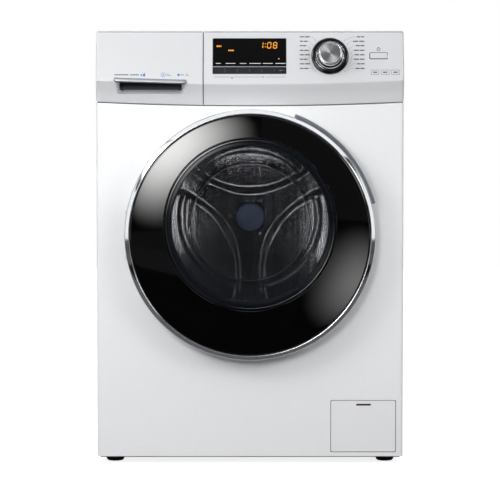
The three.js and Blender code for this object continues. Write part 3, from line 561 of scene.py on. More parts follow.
# Pressed borosilicate: clear at the bowl's end, darker through its thick wall, and pale along its polished
# edge, where the pale tint is a painted glint
finishes["clearGlass"] = thinGlass("borosilicateGlass", "#9aa6ac", 0.13, 0.05, IOR=1.5,
                                   Specular_IOR_Level=0.9)
finishes["bowlWall"] = thinGlass("borosilicateGlassThick", "#56616c", 0.26, 0.07, IOR=1.5,
                                 Specular_IOR_Level=1.0)
# painted highlight: the bead's pale, half-opaque tint draws the glint along the bowl end's edge
finishes["beadGlassGlint"] = thinGlass("borosilicateGlassEdgeGlint", "#c3ced9", 0.5, 0.05, IOR=1.5,
                                  Specular_IOR_Level=1.0)
# Hard-coated film over the touch keys: dark grey, between gloss and satin
finishes["touchFilm"] = surface("touchFilmGraphite", "#2c2e32", "#25272b", (0.16, 0.22), 20, IOR=1.5)
# Dark blue lacquer on the band behind the lens and round the hub
finishes["rimBlue"] = surface("lacquerNightBlue", "#1b2434", "#151c2a", (0.2, 0.28), 6, Coat_Weight=0.5)
# The pressed back of the drum: bright-annealed stainless with a streaked vertical grain
finishes["streakedStainless"] = surface("stainlessSheetStreaked", "#c4c6c9", "#777a7e", (0.12, 0.30), 8.0,
                                        0.006, metallic=1.0, stretch=(1, 1, 0.05))
# Moulded parts in the drum: a bluish nylon hub cap and silver-grey polypropylene lifters
finishes["hubSlate"] = surface("mouldedNylonSlate", "#7c8bb0", "#6f7da0", (0.35, 0.42), 1.0, 0.004, IOR=1.53)
finishes["lifterGrey"] = surface("mouldedPolypropyleneSilver", "#b6babf", "#a8acb2", (0.3, 0.38), 1.0, 0.004,
                                 IOR=1.49)
# ABS pigmented to match the painted sheet round it
finishes["absMatched"] = surface("mouldedAbsMatchedWhite", "#f3f4f5", "#eff0f2", (0.30, 0.36), 0.8, 0.003,
                                 IOR=1.53)
# Chrome with a satin top coat: blurs what it mirrors, so it reads as pale silver
finishes["satinChrome"] = surface("satinChromePlate", "#a6a9ae", "#a0a3a8", (0.40, 0.42), 30, metallic=1.0)
finishes["amberLamp"] = lampMaterial("ledAmber", "#ec9c1c", 0.62)  # the display's lit figures


# Aluminium face spun against a tool: fine rings, which give a bright cross of light
def spunAluminium():
    material = surface("spunAluminium", "#d3d5d8", "#bfc2c6", (0.24, 0.32), 0.5, metallic=1.0,
                       Anisotropic=0.75)
    spin = addNode(material.node_tree, "ShaderNodeTangent", {"direction_type": "RADIAL", "axis": "Y"})
    material.node_tree.links.new(spin.outputs["Tangent"], bodyOf(material).inputs["Tangent"])
    return material


# Dull graphite ABS, with painted shade that darkens it towards the roof of the drawer's pocket, where the lip
# shades it
def pocketAbsRoofShade():
    roofShadeRange = {"From Min": 0.738, "From Max": 0.744, "To Min": 1.0, "To Max": 0.08}
    material = surface("mouldedAbsGraphiteRoofShade", "#45484d", "#3c3f44", (0.56, 0.62), 0.8, 0.003, IOR=1.53,
                       Specular_IOR_Level=0.12)
    tree, baseColour = material.node_tree, bodyOf(material).inputs["Base Color"]
    colour = baseColour.links[0].from_node
    coords = addNode(tree, "ShaderNodeTexCoord")
    upwards = addNode(tree, "ShaderNodeSeparateXYZ", links={"Vector": (coords, "Object")})
    # painted shade: above the lower rear wall the colour falls to near black, standing in for the lip's
    # shadow
    dark = addNode(tree, "ShaderNodeMapRange", roofShadeRange, {"Value": (upwards, "Z")})
    mix = addNode(tree, "ShaderNodeVectorMath", {"operation": "SCALE"},
                  {"Vector": (colour, "Color"), "Scale": (dark, "Result")})
    tree.links.new(mix.outputs["Vector"], baseColour)
    return material


finishes["spunFace"] = spunAluminium()
finishes["pocketGrey"] = pocketAbsRoofShade()
print("stage and finishes ready")


# A Geometry Nodes tree with named inputs. Each entry is name: (socket type, default).
def newTree(name, inputs):
    tree = bpy.data.node_groups.new(name, "GeometryNodeTree")
    tree.interface.new_socket(name="Geometry", in_out="INPUT", socket_type="NodeSocketGeometry")
    for label, (kind, value) in inputs.items():
        socket = tree.interface.new_socket(name=label, in_out="INPUT", socket_type=kind)
        if value is not None:
            socket.default_value = value
    tree.interface.new_socket(name="Geometry", in_out="OUTPUT", socket_type="NodeSocketGeometry")
    return tree, addNode(tree, "NodeGroupInput")


def finishTree(tree, source, output):
    realised = addNode(tree, "GeometryNodeRealizeInstances", links={"Geometry": (source, output)})
    painted = addNode(tree, "GeometryNodeSetMaterial", links={"Geometry": (realised, "Geometry")})
    inputs = next(node for node in tree.nodes if node.bl_idname == "NodeGroupInput")
    tree.links.new(inputs.outputs["Material"], painted.inputs["Material"])
    addNode(tree, "NodeGroupOutput", links={"Geometry": (painted, "Geometry")})
    return tree


def grown(name, tree, base, values, sharp=32):
    obj = linked(name, base)
    step = obj.modifiers.new("grow", "NODES")
    step.node_group = tree
    names = {item.name: item.identifier for item in tree.interface.items_tree if item.in_out == "INPUT"}
    for label, value in values.items():
        step[names[label]] = value
    bakeModifiers(obj)
    obj.data.name = name
    shadeSmooth(obj, sharp)
    return obj


# One part repeated at given places, each turned to face its own way.
def makeRepeatTree():
    tree, inputs = newTree("repeatPart",
                           {"Part": ("NodeSocketObject", None), "Size": ("NodeSocketFloat", 1.0),
                                          "Material": ("NodeSocketMaterial", None)})
    facing = addNode(tree, "GeometryNodeInputNamedAttribute", {"data_type": "FLOAT_VECTOR", "Name": "facing"})
    turn = addNode(tree, "FunctionNodeAlignRotationToVector", {"axis": "Z"},
                   {"Vector": (facing, "Attribute")})
    part = addNode(tree, "GeometryNodeObjectInfo", links={"Object": (inputs, "Part")})
    spread = addNode(tree, "GeometryNodeInstanceOnPoints",
                     links={"Points": (inputs, "Geometry"), "Instance": (part, "Geometry"),
                            "Rotation": (turn, "Rotation"), "Scale": (inputs, "Size")})
    return finishTree(tree, spread, "Instances")


repeatTree = makeRepeatTree()


def repeated(name, part, places, material, size=1.0):
    mesh = bpy.data.meshes.new(name)
    mesh.from_pydata([Vector(p[:3]) * mm for p in places], [], [])
    facing = mesh.attributes.new("facing", "FLOAT_VECTOR", "POINT")
    for i, p in enumerate(places):
        facing.data[i].vector = p[3:]
    return grown(name, repeatTree, mesh, {"Part": part, "Size": size, "Material": material})


# A pan-head screw with a cross recess, standing on its own origin.
def screwHead():
    radius, height = 4.0, 2.4
    ring = [(0, 0), (radius, 0), (radius, 0.9), (radius * 0.86, 1.8), (radius * 0.5, height), (0, height)]
    head = turnedUp("screwHead", ring, 0, 0, 20)
    arm, half, low = 2.3, 0.55, 1.1
    carve(head, block("arm", -half, half, -arm, arm, low, 4, 0.1, 0),
          block("arm", -arm, arm, -half, half, low, 4, 0.1, 0))
    scene.collection.objects.unlink(head)
    return head


screwPart = screwHead()


# Screws at (x, y, z, facing x, y, z) places, all on one body.
def screwsAt(name, body, places, size=1.0, finish="zinc"):
    screws = repeated(name, screwPart, places, finishes[finish], size)
    dress(screws, body, finish, "steel")


# How far the crease and the seam rise from the middle towards the corners.
def sagAt(x):
    return sag * (x / side) ** 2


# The outline of the fascia across its length: rounded at the crease, the top and the seam, square behind.
def fasciaSection(x, inset, deeper=0.0):
    rise = topZ - creaseZ0
    topY = creaseY + rise * math.tan(faceTilt)
    slope = inset / math.cos(faceTilt)
    crease, seam, back = creaseZ0 + sagAt(x), seamZ0 + sagAt(x), frontY + 30 + deeper
    corners = [(back, seam + inset), (frontY - 1 + inset, seam + inset),
               (creaseY + 7.2 + slope, crease - 20.5), (creaseY + slope, crease),
               (topY + slope, topZ - inset), (back, topZ - inset)]
    return [(x, y, z) for y, z in softened(corners, [0, 1.6, 60, 2.2, 4.5, 0], 5)]


# Stations along X with the outline drawn in towards each end, which rounds the ends.
def fasciaStations(x0, x1, round0, round1, count=26):
    stations = []
    for k in range(6):
        a = math.radians(18 * k)
        stations.append((x0 + round0 * (1 - math.sin(a)), round0 * (1 - math.cos(a))))
    stations.reverse()
    a0, a1 = x0 + round0, x1 - round1
    stations += [(a0 + (a1 - a0) * k / count, 0.0) for k in range(1, count)]
    for k in range(6):
        a = math.radians(18 * k)
        stations.append((x1 - round1 * (1 - math.sin(a)), round1 * (1 - math.cos(a))))
    return stations


def fasciaShell(name, x0, x1, round0, round1):
    wall = 3.0
    body = lofted(name, [fasciaSection(x, inset) for x, inset in fasciaStations(x0, x1, round0, round1)])
    inner = [x0 + wall + (x1 - x0 - 2 * wall) * k / 20 for k in range(21)]
    hollow = lofted("hollow", [fasciaSection(x, wall, 10) for x in inner])
    return body, hollow


onFace = Matrix.Translation(Vector((0, creaseY, creaseZ0)) * mm) @ Matrix.Rotation(-faceTilt, 4, "X")
knobPlace = {"x": 155.7, "up": 55.9}


def facePiece(obj):
    return place(obj, onFace)


def buildPanel():
    openings = {"display": (-73, 71, 20.3, 91.8), "key": (233.4, 267.6, 50.6, 62.4), "knobHole": 8.0}
    body, hollow = fasciaShell("panel_moulding", -90.2, side, 0.8, 4.0)
    x0, x1, z0, z1 = openings["display"]
    display = facePiece(extruded("cut", roundedRect(x0, x1, z0, z1, 1.2), -20, 20))
    x0, x1, z0, z1 = openings["key"]
    key = facePiece(extruded("cut", roundedRect(x0, x1, z0, z1, 2.4), -20, 20))
    knob = facePiece(extruded("cut", ringPoints(knobPlace["x"], knobPlace["up"], openings["knobHole"]), -20,
                              20))
    carve(body, hollow, display, key, knob)
    dress(body, "cabinet", "abs", "white_plastic", "control_panel")


def ringPoints(x, z, radius, count=48, start=0.0, end=360.0):
    closed = end - start >= 360
    angles = [math.radians(start + (end - start) * k / (count if closed else count - 1))
              for k in range(count)]
    return [(x + radius * math.cos(a), z + radius * math.sin(a)) for a in angles]


# Dark strips behind the joints, which stand in for the shade in the gaps as painted shade: the fascia's lower
# seam, and the split between drawer and panel.
def buildSeamShadeStrips():
    shadeStrips = {"behind": 1.4, "deep": 4.0, "split": (-91.85, -90.3), "base": (14.9, 16.9),
             "top": (-247.9, -243.5, 846.9, 848.3)}
    sections = []
    for k in range(25):
        x = (-side + 1.5) + (2 * side - 3) * k / 24
        seam = seamZ0 + sagAt(x)
        near, far = frontY + shadeStrips["behind"], frontY + shadeStrips["behind"] + shadeStrips["deep"]
        sections.append([(x, near, seam - 3.0), (x, far, seam - 3.0), (x, far, seam - 0.15),
                         (x, near, seam - 0.15)])
    strip = lofted("fascia_seam_seal", sections)
    dress(strip, "cabinet", "blackRubber", "black_rubber")
    a, b = shadeStrips["split"]
    fin = lofted("panel_edge_seal", [fasciaSection(a, 2.4), fasciaSection(b, 2.4)])
    dress(fin, "cabinet", "blackRubber", "black_rubber")
    # painted shade: grey strips under the top edges' rounding draw the dark line of the joint there
    for name, body, x0, x1 in (("panel_top_seal", "cabinet", -89.2, side - 3.0),
                               ("drawer_top_seal", "drawer", 3.0 - side, -93.0)):
        bead = block(name, x0, x1, *shadeStrips["top"], 0.4, 0.1)
        dress(bead, body, "greyInk", "black_rubber")
    # painted shade: a black strip under the front sheet's bottom edge draws the dark line of its return
    low, high = shadeStrips["base"]
    skirt = block("base_edge_seal", -side + 6, side - 6, frontY + 1.0, frontY + 4.0, low, high, 0.6, 0.2)
    dress(skirt, "cabinet", "blackRubber", "black_rubber")


buildPanel()
buildSeamShadeStrips()
print("panel ready")


# A working copy of a mesh whose loose points are merged and flat faces are joined.
def cleanBuild(mesh, merge, flat):
    build = bmesh.new()
    build.from_mesh(mesh)
    bmesh.ops.remove_doubles(build, verts=build.verts, dist=merge)
    bmesh.ops.dissolve_limit(build, angle_limit=math.radians(flat), verts=build.verts, edges=build.edges)
    return build


# Rounds the sharp edges that pass the test, which sees both ends of each in millimetres.
def easeWhere(obj, width, steps, test, sharp=32):
    build = cleanBuild(obj.data, 2e-6, 0.5)
    chosen = [edge for edge in build.edges
              if edge.calc_face_angle(0) > math.radians(40) and test(*[v.co / mm for v in edge.verts])]
    bmesh.ops.bevel(build, geom=chosen, offset=width * mm, segments=steps, profile=0.5, affect="EDGES",
                    clamp_overlap=True)
    build.to_mesh(obj.data)
    build.free()
    shadeSmooth(obj, sharp)
    return obj


def seamAt(x):
    return seamZ0 + sagAt(x)


def buildFrontSheet():
    sheet = {"deep": 22.0, "wall": 1.6, "gap": 1.6, "corner": 4.5, "porthole": 173.0,
             "hatchGap": 0.8, "lock": (196, 224, 14)}
    top = [(side - 2 * side * k / 24, seamAt(side - 2 * side * k / 24) - sheet["gap"]) for k in range(25)]
    outline = [(-side, baseZ), (side, baseZ)] + top
    body = extruded("front_sheet", outline, frontY, frontY + sheet["deep"])
    easeWhere(body, sheet["corner"], 6, lambda a, b: abs(a.y - frontY) < 0.01 and abs(b.y - frontY) < 0.01
              and abs(a.x - b.x) < 0.01)
    wall = sheet["wall"]
    inner = [(x * (side - wall) / side, z - wall) for x, z in top]
    inner = [(-side + wall, baseZ + wall), (side - wall, baseZ + wall)] + inner
    hollow = extruded("cut", inner, frontY + wall, frontY + sheet["deep"] + 8)
    easeWhere(hollow, sheet["corner"] - wall, 4, lambda a, b: abs(a.y - frontY - wall) < 0.01
              and abs(b.y - frontY - wall) < 0.01 and abs(a.x - b.x) < 0.01)
    hole = turned("cut", [(0, -5), (sheet["porthole"], -5), (sheet["porthole"], 10), (0, 10)])
    low, high = span("filter_hatch")
    gap = sheet["hatchGap"]
    hatch = extruded("cut", roundedRect(low[0] - gap, high[0] + gap, low[2] - gap, high[2] + gap, 3),
                     frontY - 5, frontY + 10)
    x0, x1, half = sheet["lock"]
    slot = extruded("cut", roundedRect(x0, x1, doorZ - half, doorZ + half, 4), frontY - 5, frontY + 10)
    carve(body, hollow, hole, hatch, slot)
    easeEdges(body, 0.35, 2, 32, 60)
    dress(body, "cabinet", "powderCoat", "white_paint", "front_panel")


def buildTop():
    board = extruded("worktop_board", roundedRect(-side, side, worktopY, backY, 4), worktopZ, topZ)
    place(board, Matrix(((1, 0, 0, 0), (0, 0, 1, 0), (0, 1, 0, 0), (0, 0, 0, 1))))  # swaps y and z
    board.data.flip_normals()
    easeEdges(board, 2.2, 4, 32, 60)
    dress(board, "cabinet", "laminate", "white_laminate", "top_cover")
    rail = {"deep": 3.0, "height": 5.0}
    strip = block("worktop_edge_strip", -side + 3, side - 3, backY - 0.5, backY + rail["deep"] - 0.5,
                  worktopZ + 3, worktopZ + 3 + rail["height"], 1.5, 0.5)
    dress(strip, "cabinet", "abs", "white_plastic")


buildFrontSheet()
buildTop()


def blendOf(a, b, t):
    return tuple(p + (q - p) * t for p, q in zip(a, b))


# A rounded mouth that narrows from its front rectangle to its rear one. Each is (x0, x1, y, z0, z1).
def tapered(name, front, rear, radius, count=6):
    sections = []
    for k in range(count + 1):
        x0, x1, y, z0, z1 = blendOf(front, rear, k / count)
        sections.append([(x, y, z) for x, z in roundedRect(x0, x1, z0, z1, radius, 5)])
    return lofted(name, sections)


def buildDrawerFront():
    drawer = {"right": -92.0, "mouth": (-264.8, -122.9, -20, 719, 753), "rear": (-250, -138, 16, 735, 764),
              "grow": 2.5, "corner": 5.0, "mouthTop": 751.5, "insert": (-255, -133, 2, 17, 734, 766)}
    x0, x1, y, z0, z1 = drawer["mouth"]
    mouth = (x0, x1, frontY + y, z0, z1)
    x0, x1, y, z0, z1 = drawer["rear"]
    rear = (x0, x1, frontY + y, z0, z1)
    grow = drawer["grow"]
    wide = (mouth[0] - grow, mouth[1] + grow, frontY - 3, mouth[3] + 2, mouth[4] + 6)
    deep = (rear[0] - grow, rear[1] + grow, rear[2] + grow, rear[3] - grow, rear[4] + grow)
    body, hollow = fasciaShell("drawer_moulding", -side, drawer["right"], 4.0, 0.8)
    mask = lofted("mask", [fasciaSection(-side + (drawer["right"] + side) * k / 16, 0.2) for k in range(17)])
    lining = carve(tapered("lining", wide, deep, drawer["corner"]), mask, operation="INTERSECT")
    carve(body, hollow)
    carve(body, lining, operation="UNION")
    pocket = tapered("pocket", mouth, rear, drawer["corner"])
    slab = block("slab", -290, -100, frontY - 30, frontY - 2, 690, drawer["mouthTop"], 0.1, 0)
    mouthCut = carve(copyOf(pocket, "mouthCut"), slab, operation="INTERSECT")
    slab = block("slab", -290, -100, frontY - 2.2, frontY + 30, 690, 790, 0.1, 0)
    depthCut = carve(pocket, slab, operation="INTERSECT")
    openBack = block("openBack", -side - 5, 0, frontY + 30, frontY + 80, 600, topZ + 20, 0.1, 0)
    carve(body, mouthCut, depthCut, openBack)
    dress(body, "drawer", "abs", "white_plastic", "drawer_front")
    body.data.materials.append(finishes["pocketGrey"])
    x0, x1, y0, y1, z0, z1 = drawer["insert"]
    for face in body.data.polygons:  # the pocket's rear wall and roof take the darker graphite finish, painted darker still towards the roof as shade under the lip
        x, y, z = face.center / mm
        if x0 < x < x1 and frontY + y0 < y < frontY + y1 and z0 < z < z1 and face.normal.y < -0.2:
            face.material_index = 1


# The bright lip over the pocket. It follows the crease, and its ends are rounded over.
def buildDrawerHandle():
    lip = {"from": -265.0, "to": -123.0, "round": 3.5, "height": 8.0}
    rise = lip["height"] * math.tan(faceTilt)
    sections = []
    for x, inset in fasciaStations(lip["from"], lip["to"], lip["round"], lip["round"], 20):
        z, part = creaseZ0 + sagAt(x), 1 - inset / lip["round"]
        corners = [(creaseY - 0.35, z + 0.3), (creaseY - 4, z - 1.2), (creaseY - 5.4, z + 1),
                   (creaseY - 4.6, z + 6), (creaseY - 2, z + 8), (creaseY - 0.65 + rise, z + 8)]
        middle = (creaseY - 0.5, z + 3.5)
        ring = softened(corners, [0, 1.6, 1.6, 2, 1.2, 0], 4)
        sections.append([(x, y0, z0) for y0, z0 in (blendOf(middle, c, max(part, 0.12)) for c in ring)])
    bar = lofted("drawer_lip", sections, 60)
    dress(bar, "drawer", "satinChrome", "chrome_trim", "drawer_handle")


buildDrawerFront()
buildDrawerHandle()
print("drawer front ready")


# Printed marks: thin raised ink shapes on the fascia's upper face, drawn in the face's own X and up.
def inkShape(outline, thick=0.12, below=0.05):
    return extruded("ink", outline, -thick, below)


# How far the fascia stands in front of its middle plane, where the crease bows up towards the corners.
def proudOfFace(x, up):
    rise, bow, height = topZ - creaseZ0, sagAt(x), up * math.cos(faceTilt)
    return math.sin(faceTilt) * bow * max(rise - height, 0) / (rise - bow)


def inkPiece(name, shapes, body, finish, slot, base=0.0):
    whole = join(name, shapes, 60)
    for vertex in whole.data.vertices:
        vertex.co.y += (base - proudOfFace(vertex.co.x / mm, vertex.co.z / mm)) * mm
    facePiece(whole)
    return dress(whole, body, finish, slot)


def dash(x0, x1, up, height=0.9):
    return inkShape(roundedRect(x0, x1, up - height / 2, up + height / 2, height * 0.45, 2))


def ringBand(x, up, radius, width, start=0.0, end=360.0, count=40):
    outer = ringPoints(x, up, radius + width / 2, count, start, end)
    inner = ringPoints(x, up, radius - width / 2, count, start, end)
    if end - start < 360:
        return inkShape(outer + inner[::-1])
    verts = [(a, y, b) for y in (-0.12, 0.05) for ring in (outer, inner) for a, b in ring]
    n = count
    faces = []
    for k in range(n):
        m = (k + 1) % n
        faces += [(k, m, n + m, n + k), (2 * n + m, 2 * n + k, 3 * n + k, 3 * n + m),
                  (m, k, 2 * n + k, 2 * n + m), (n + k, n + m, 3 * n + m, 3 * n + k)]
    return newPiece("ink", verts, faces)


def outlineBox(x0, x1, u0, u1, line=0.7):
    return [dash(x0, x1, u0, line), dash(x0, x1, u1, line),
            inkShape(roundedRect(x0 - line / 2, x0 + line / 2, u0, u1, 0.2, 1)),
            inkShape(roundedRect(x1 - line / 2, x1 + line / 2, u0, u1, 0.2, 1))]


def buildDisplay():
    lens = {"x": (-72.6, 70.6), "up": (36.0, 91.4), "strip": (20.7, 34.0), "bar": (34.0, 35.6)}
    x0, x1 = lens["x"]
    glass = extruded("display_lens", roundedRect(x0, x1, *lens["up"], 1.0), -0.6, 3.0, 0.3)
    dress(facePiece(glass), "cabinet", "acrylicBlack", "black_gloss", "display_window")
    strip = extruded("touch_key_strip", roundedRect(x0, x1, *lens["strip"], 1.0), -0.6, 3.0, 0.3)
    ledge = extruded("strip_ledge", roundedRect(x0, x1, *lens["bar"], 0.5), -1.2, 1.0, 0.25)
    dress(facePiece(strip), "cabinet", "touchFilm", "black_gloss", "touch_strip")
    dress(facePiece(ledge), "cabinet", "satinChrome", "black_gloss")


# A seven-segment figure, its lit bars drawn as slim hexagons and leaning a little.
def figure(digit, x, up, width, height, thick):
    lit = {0: "abcdef", 1: "bc", 8: "abcdefg"}[digit]
    w, h, t = width / 2, height / 2, thick / 2
    bars = {"a": ((-w, h), (w, h)), "b": ((w, h), (w, 0)), "c": ((w, 0), (w, -h)), "d": ((-w, -h), (w, -h)),
            "e": ((-w, 0), (-w, -h)), "f": ((-w, h), (-w, 0)), "g": ((-w, 0), (w, 0))}
    shapes = []
    for key in lit:
        (ax, az), (bx, bz) = bars[key]
        along = Vector((bx - ax, bz - az)).normalized()
        start, end = Vector((ax, az)) + along * t * 0.5, Vector((bx, bz)) - along * t * 0.5
        aside = Vector((-along.y, along.x)) * t
        points = [start, start + along * t + aside, end - along * t + aside, end, end - along * t - aside,
                  start + along * t - aside]
        shapes.append(inkShape([(x + p.x + (p.y + h) * 0.08, up + p.y) for p in points], 0.1, 0.02))
    return shapes


def buildDisplayMarks():
    figures = {"up": 77.5, "width": 6.6, "height": 11.4, "thick": 1.45, "base": -0.62}
    lit = []
    for digit, x in ((1, 21.5), (0, 37.0), (8, 48.5)):
        lit += figure(digit, x, figures["up"], figures["width"], figures["height"], figures["thick"])
    lit += [dash(29.3, 31.2, figures["up"] + 3, 1.9), dash(29.1, 31.0, figures["up"] - 3, 1.9)]
    for x in (-65.0, -62.8, -60.2, -57.6):
        lit.append(dash(x, x + 1.7, 75.6, 3.4))
    for x in (-42.4, -39.6, -36.4, -33.6):
        lit.append(dash(x, x + 2.1, 67.2, 3.0))
    lit.append(dash(54.8, 57.2, 50.6, 2.0))
    inkPiece("display_figures", lit, "cabinet", "amberLamp", "black_gloss", figures["base"])
    words = [(-66.5, -56.5), (-47.3, -28.3), (-20.1, -6.8), (-1.0, 20.9), (25.2, 44.6), (49.3, 69.4)]
    shapes = [dash(a, b, 41.3, 1.15) for a, b in words]
    inkPiece("display_labels", shapes, "cabinet", "whiteInk", "white_plastic", figures["base"])
    shapes = [dash(57.0, 63.0, 27.4, 1.2), dash(65.5, 67.0, 27.4, 1.2)]
    shapes += [dash(a, a + 0.35, 27.4, 7.0) for a in (-49.0, -25.0, -1.0, 23.0, 47.0)]
    inkPiece("touch_marks", shapes, "cabinet", "greyInk", "white_plastic", figures["base"])
    under = [dash(-70, 22, 14.4, 0.6), dash(29, 69, 14.4, 0.6), dash(-36.5, -33.5, 12.0, 2.4),
             dash(23.6, 26.6, 14.4, 2.4)]
    inkPiece("panel_under_marks", under, "cabinet", "greyInk", "white_plastic")


# Beside the knob: a row of dashes for each programme, with a leader line that runs to the ring.
def buildProgrammeMarks():
    rows = {"up": [94.5, 85.6, 76.8, 67.6, 58.6, 49.8, 40.6, 31.4], "left": 97.0, "right": 223.0,
            "ring": 41.5}
    lengths = [[19.5, 15.5, 12.5, 17.5, 19.5, 15.0, 20.0, 17.0],
               [15.0, 22.5, 17.0, 21.0, 19.5, 21.0, 14.5, 18.0]]
    marks, leaders = [], []
    x, up = knobPlace["x"], knobPlace["up"]
    for i, height in enumerate(rows["up"]):
        fan = math.radians(48 - i * 96 / 7)
        for hand, edge, words in ((-1, rows["left"], lengths[0][i]), (1, rows["right"], lengths[1][i])):
            at = (x + hand * rows["ring"] * math.cos(fan), up + rows["ring"] * math.sin(fan))
            inward = edge + words + 1.5 if hand < 0 else edge - words - 1.5
            marks += [dash(edge, edge + words * 0.42, height, 2.1) if hand < 0 else
                      dash(edge - words * 0.46, edge, height, 2.1)]
            marks += [dash(edge + words * 0.48, edge + words, height, 2.1) if hand < 0 else
                      dash(edge - words, edge - words * 0.52, height, 2.1)]
            elbow = (inward + (at[0] - inward) * 0.35, height)
            if abs(elbow[0] - inward) > 0.6:
                leaders.append(dash(min(inward, elbow[0]), max(inward, elbow[0]), height, 0.35))
            a, b = Vector(elbow), Vector(at)
            across = (b - a).normalized()
            across = Vector((-across.y, across.x)) * 0.18
            leaders.append(inkShape([tuple(a - across), tuple(b - across), tuple(b + across),
                                     tuple(a + across)]))
            leaders.append(inkShape(ringPoints(at[0], at[1], 0.6, 10)))
    inkPiece("programme_labels", marks, "cabinet", "darkInk", "white_plastic")
    inkPiece("programme_leaders", leaders, "cabinet", "greyInk", "white_plastic")
    extra = [ringBand(250.4, 69.6, 3.0, 1.0), dash(249.9, 250.9, 72.4, 3.4)]
    for x0, x1 in ((235.9, 251.0), (255.2, 270.7), (275.2, 290.8)):
        extra += outlineBox(x0, x1, 19.4, 28.2, 0.55)
        extra += [dash(x0 + 3.4, x1 - 3.4, 23.8, 2.2)]
    inkPiece("option_marks", extra, "cabinet", "darkInk", "white_plastic")


# The outline of a drop of liquid, whose tip may lean to one side.
def dropOutline(x, up, size, lean=0.0):
    points = []
    for k in range(25):
        a = math.radians(-225 + 270 * k / 24)
        points.append((x + size * math.cos(a), up + size * math.sin(a)))
    points.append((x + lean, up + size * 2.1))
    return points


# Three small pictograms on the drawer: a drop, a ringed drop and a dot with a dash, each with its words.
def buildDrawerMarks():
    up = 18.6
    blue = [inkShape(dropOutline(-206.0, up - 0.8, 2.6, 1.0)), inkShape(dropOutline(-168.8, up - 0.4, 1.3)),
            ringBand(-168.8, up, 4.2, 0.8), dash(-135.2, -128.6, up, 1.5),
            inkShape(ringPoints(-139.0, up, 2.4, 28)),
            inkShape(roundedRect(-212.5, -209.8, up - 2.6, up + 1.6, 1.2, 3))]
    inkPiece("drawer_pictograms", blue, "drawer", "blueInk", "blue_plastic")
    words = [dash(-264, -236, up, 2.3), dash(-233.5, -216, up, 2.3), dash(-162.5, -157, up + 1.6, 1.0),
             dash(-162.5, -153.5, up - 1.4, 1.0), dash(-125.5, -121.0, up + 1.6, 0.9),
             dash(-125.5, -118.5, up - 1.4, 0.9)]
    inkPiece("drawer_labels", words, "drawer", "greyInk", "white_plastic")


buildDisplay()
buildDisplayMarks()
buildProgrammeMarks()
buildDrawerMarks()
print("panel marks ready")


# The knob's parts are turned about its own axis: [radius, height above the face].
def aboutKnob(name, profile, facets=128, sharp=32):
    obj = turned(name, [(r, -h - frontY) for r, h in profile], knobPlace["x"], knobPlace["up"], facets, sharp)
    return facePiece(obj)


def buildKnob():
    knob = {"bezel": [(9, 0.3), (36.4, 0.3), (36.4, 3.0), (34.0, 5.5), (30.4, 5.5), (29.6, 4.4), (9, 4.4)],
            "bezelRound": [0, 0, 1.2, 1.4, 0.4, 0.3, 0],
            "trim": [(28.4, 4.2), (29.4, 4.2), (29.4, 5.4), (28.4, 5.4)],
            "skirt": [(0, -20), (3, -20), (3, 6), (26.9, 6), (27.2, 8), (25.5, 10.5), (23.2, 24), (22, 25.5),
                      (20.8, 25.5), (20.8, 24), (0, 24)],
            "skirtRound": [0, 0.4, 0.4, 0.5, 1.0, 2.2, 1.2, 0.6, 0.4, 0.1, 0],
            "cap": [(0, 24.3), (20.3, 24.3), (20.3, 26.0), (19.4, 26.3), (0, 26.4)],
            "capRound": [0, 0.1, 0.3, 0.3, 0],
            "pointer": (-0.7, 0.7, 14.2, 19.0), "pointerDepth": (-26.6, -26.2)}
    bezel = aboutKnob("knob_ring", softened(knob["bezel"], knob["bezelRound"], 4))
    dress(bezel, "cabinet", "acrylicBlack", "black_gloss", "knob_bezel")
    trim = aboutKnob("knob_ring_trim", softened(knob["trim"], 0.35, 3))
    dress(trim, "cabinet", "chrome", "chrome_trim")
    skirt = aboutKnob("knob_skirt", softened(knob["skirt"], knob["skirtRound"], 4))
    dress(skirt, "knob", "chrome", "chrome_trim", "programme_knob")
    cap = aboutKnob("knob_face", softened(knob["cap"], knob["capRound"], 3))
    dress(cap, "knob", "spunFace", "spun_metal", "knob_cap")
    tick = extruded("knob_pointer", roundedRect(*knob["pointer"], 0.6, 3), *knob["pointerDepth"])
    moved(tick, knobPlace["x"], 0, knobPlace["up"])
    dress(facePiece(tick), "knob", "darkInk", "black_gloss")


def buildPowerKey():
    key = {"x": (234.0, 267.0), "up": (51.2, 61.8), "stem": (246, 254, 53, 60), "frame": 1.6, "gap": 0.45}
    x0, x1 = key["x"]
    cap = extruded("power_key", roundedRect(x0, x1, *key["up"], 2.0), -1.6, 2.4, 0.5, 3)
    stem = extruded("stem", roundedRect(*key["stem"], 0.5, 2), 2.0, 5.8)
    dress(facePiece(join("power_key", [cap, stem])), "button", "abs", "white_plastic", "power_button")
    u0, u1 = key["up"]
    outer, inner = (roundedRect(x0 - out, x1 + out, u0 - out, u1 + out, corner, 5)
                    for out, corner in ((key["frame"], 3.2), (key["gap"], 2.3)))
    frameRing = extruded("key_frame", outer, -0.7, 0.05)
    carve(frameRing, extruded("cut", inner, -5, 5))
    easeEdges(frameRing, 0.2)
    dress(facePiece(frameRing), "cabinet", "chrome", "chrome_trim")


buildKnob()
buildPowerKey()
print("knob and key ready")


# The door's front is one shallow dome about the door's own centre, by distance from it.
dome = {"top": -46.0, "fall": 7.4, "power": 3.2, "flat": 218.0, "rim": 233.8, "rimY": -29.0, "wall": 3.0}


def domeY(x, z):
    away = math.hypot(x, z - doorZ)
    return frontY + dome["top"] + dome["fall"] * (min(away, dome["flat"]) / dome["flat"]) ** dome["power"]


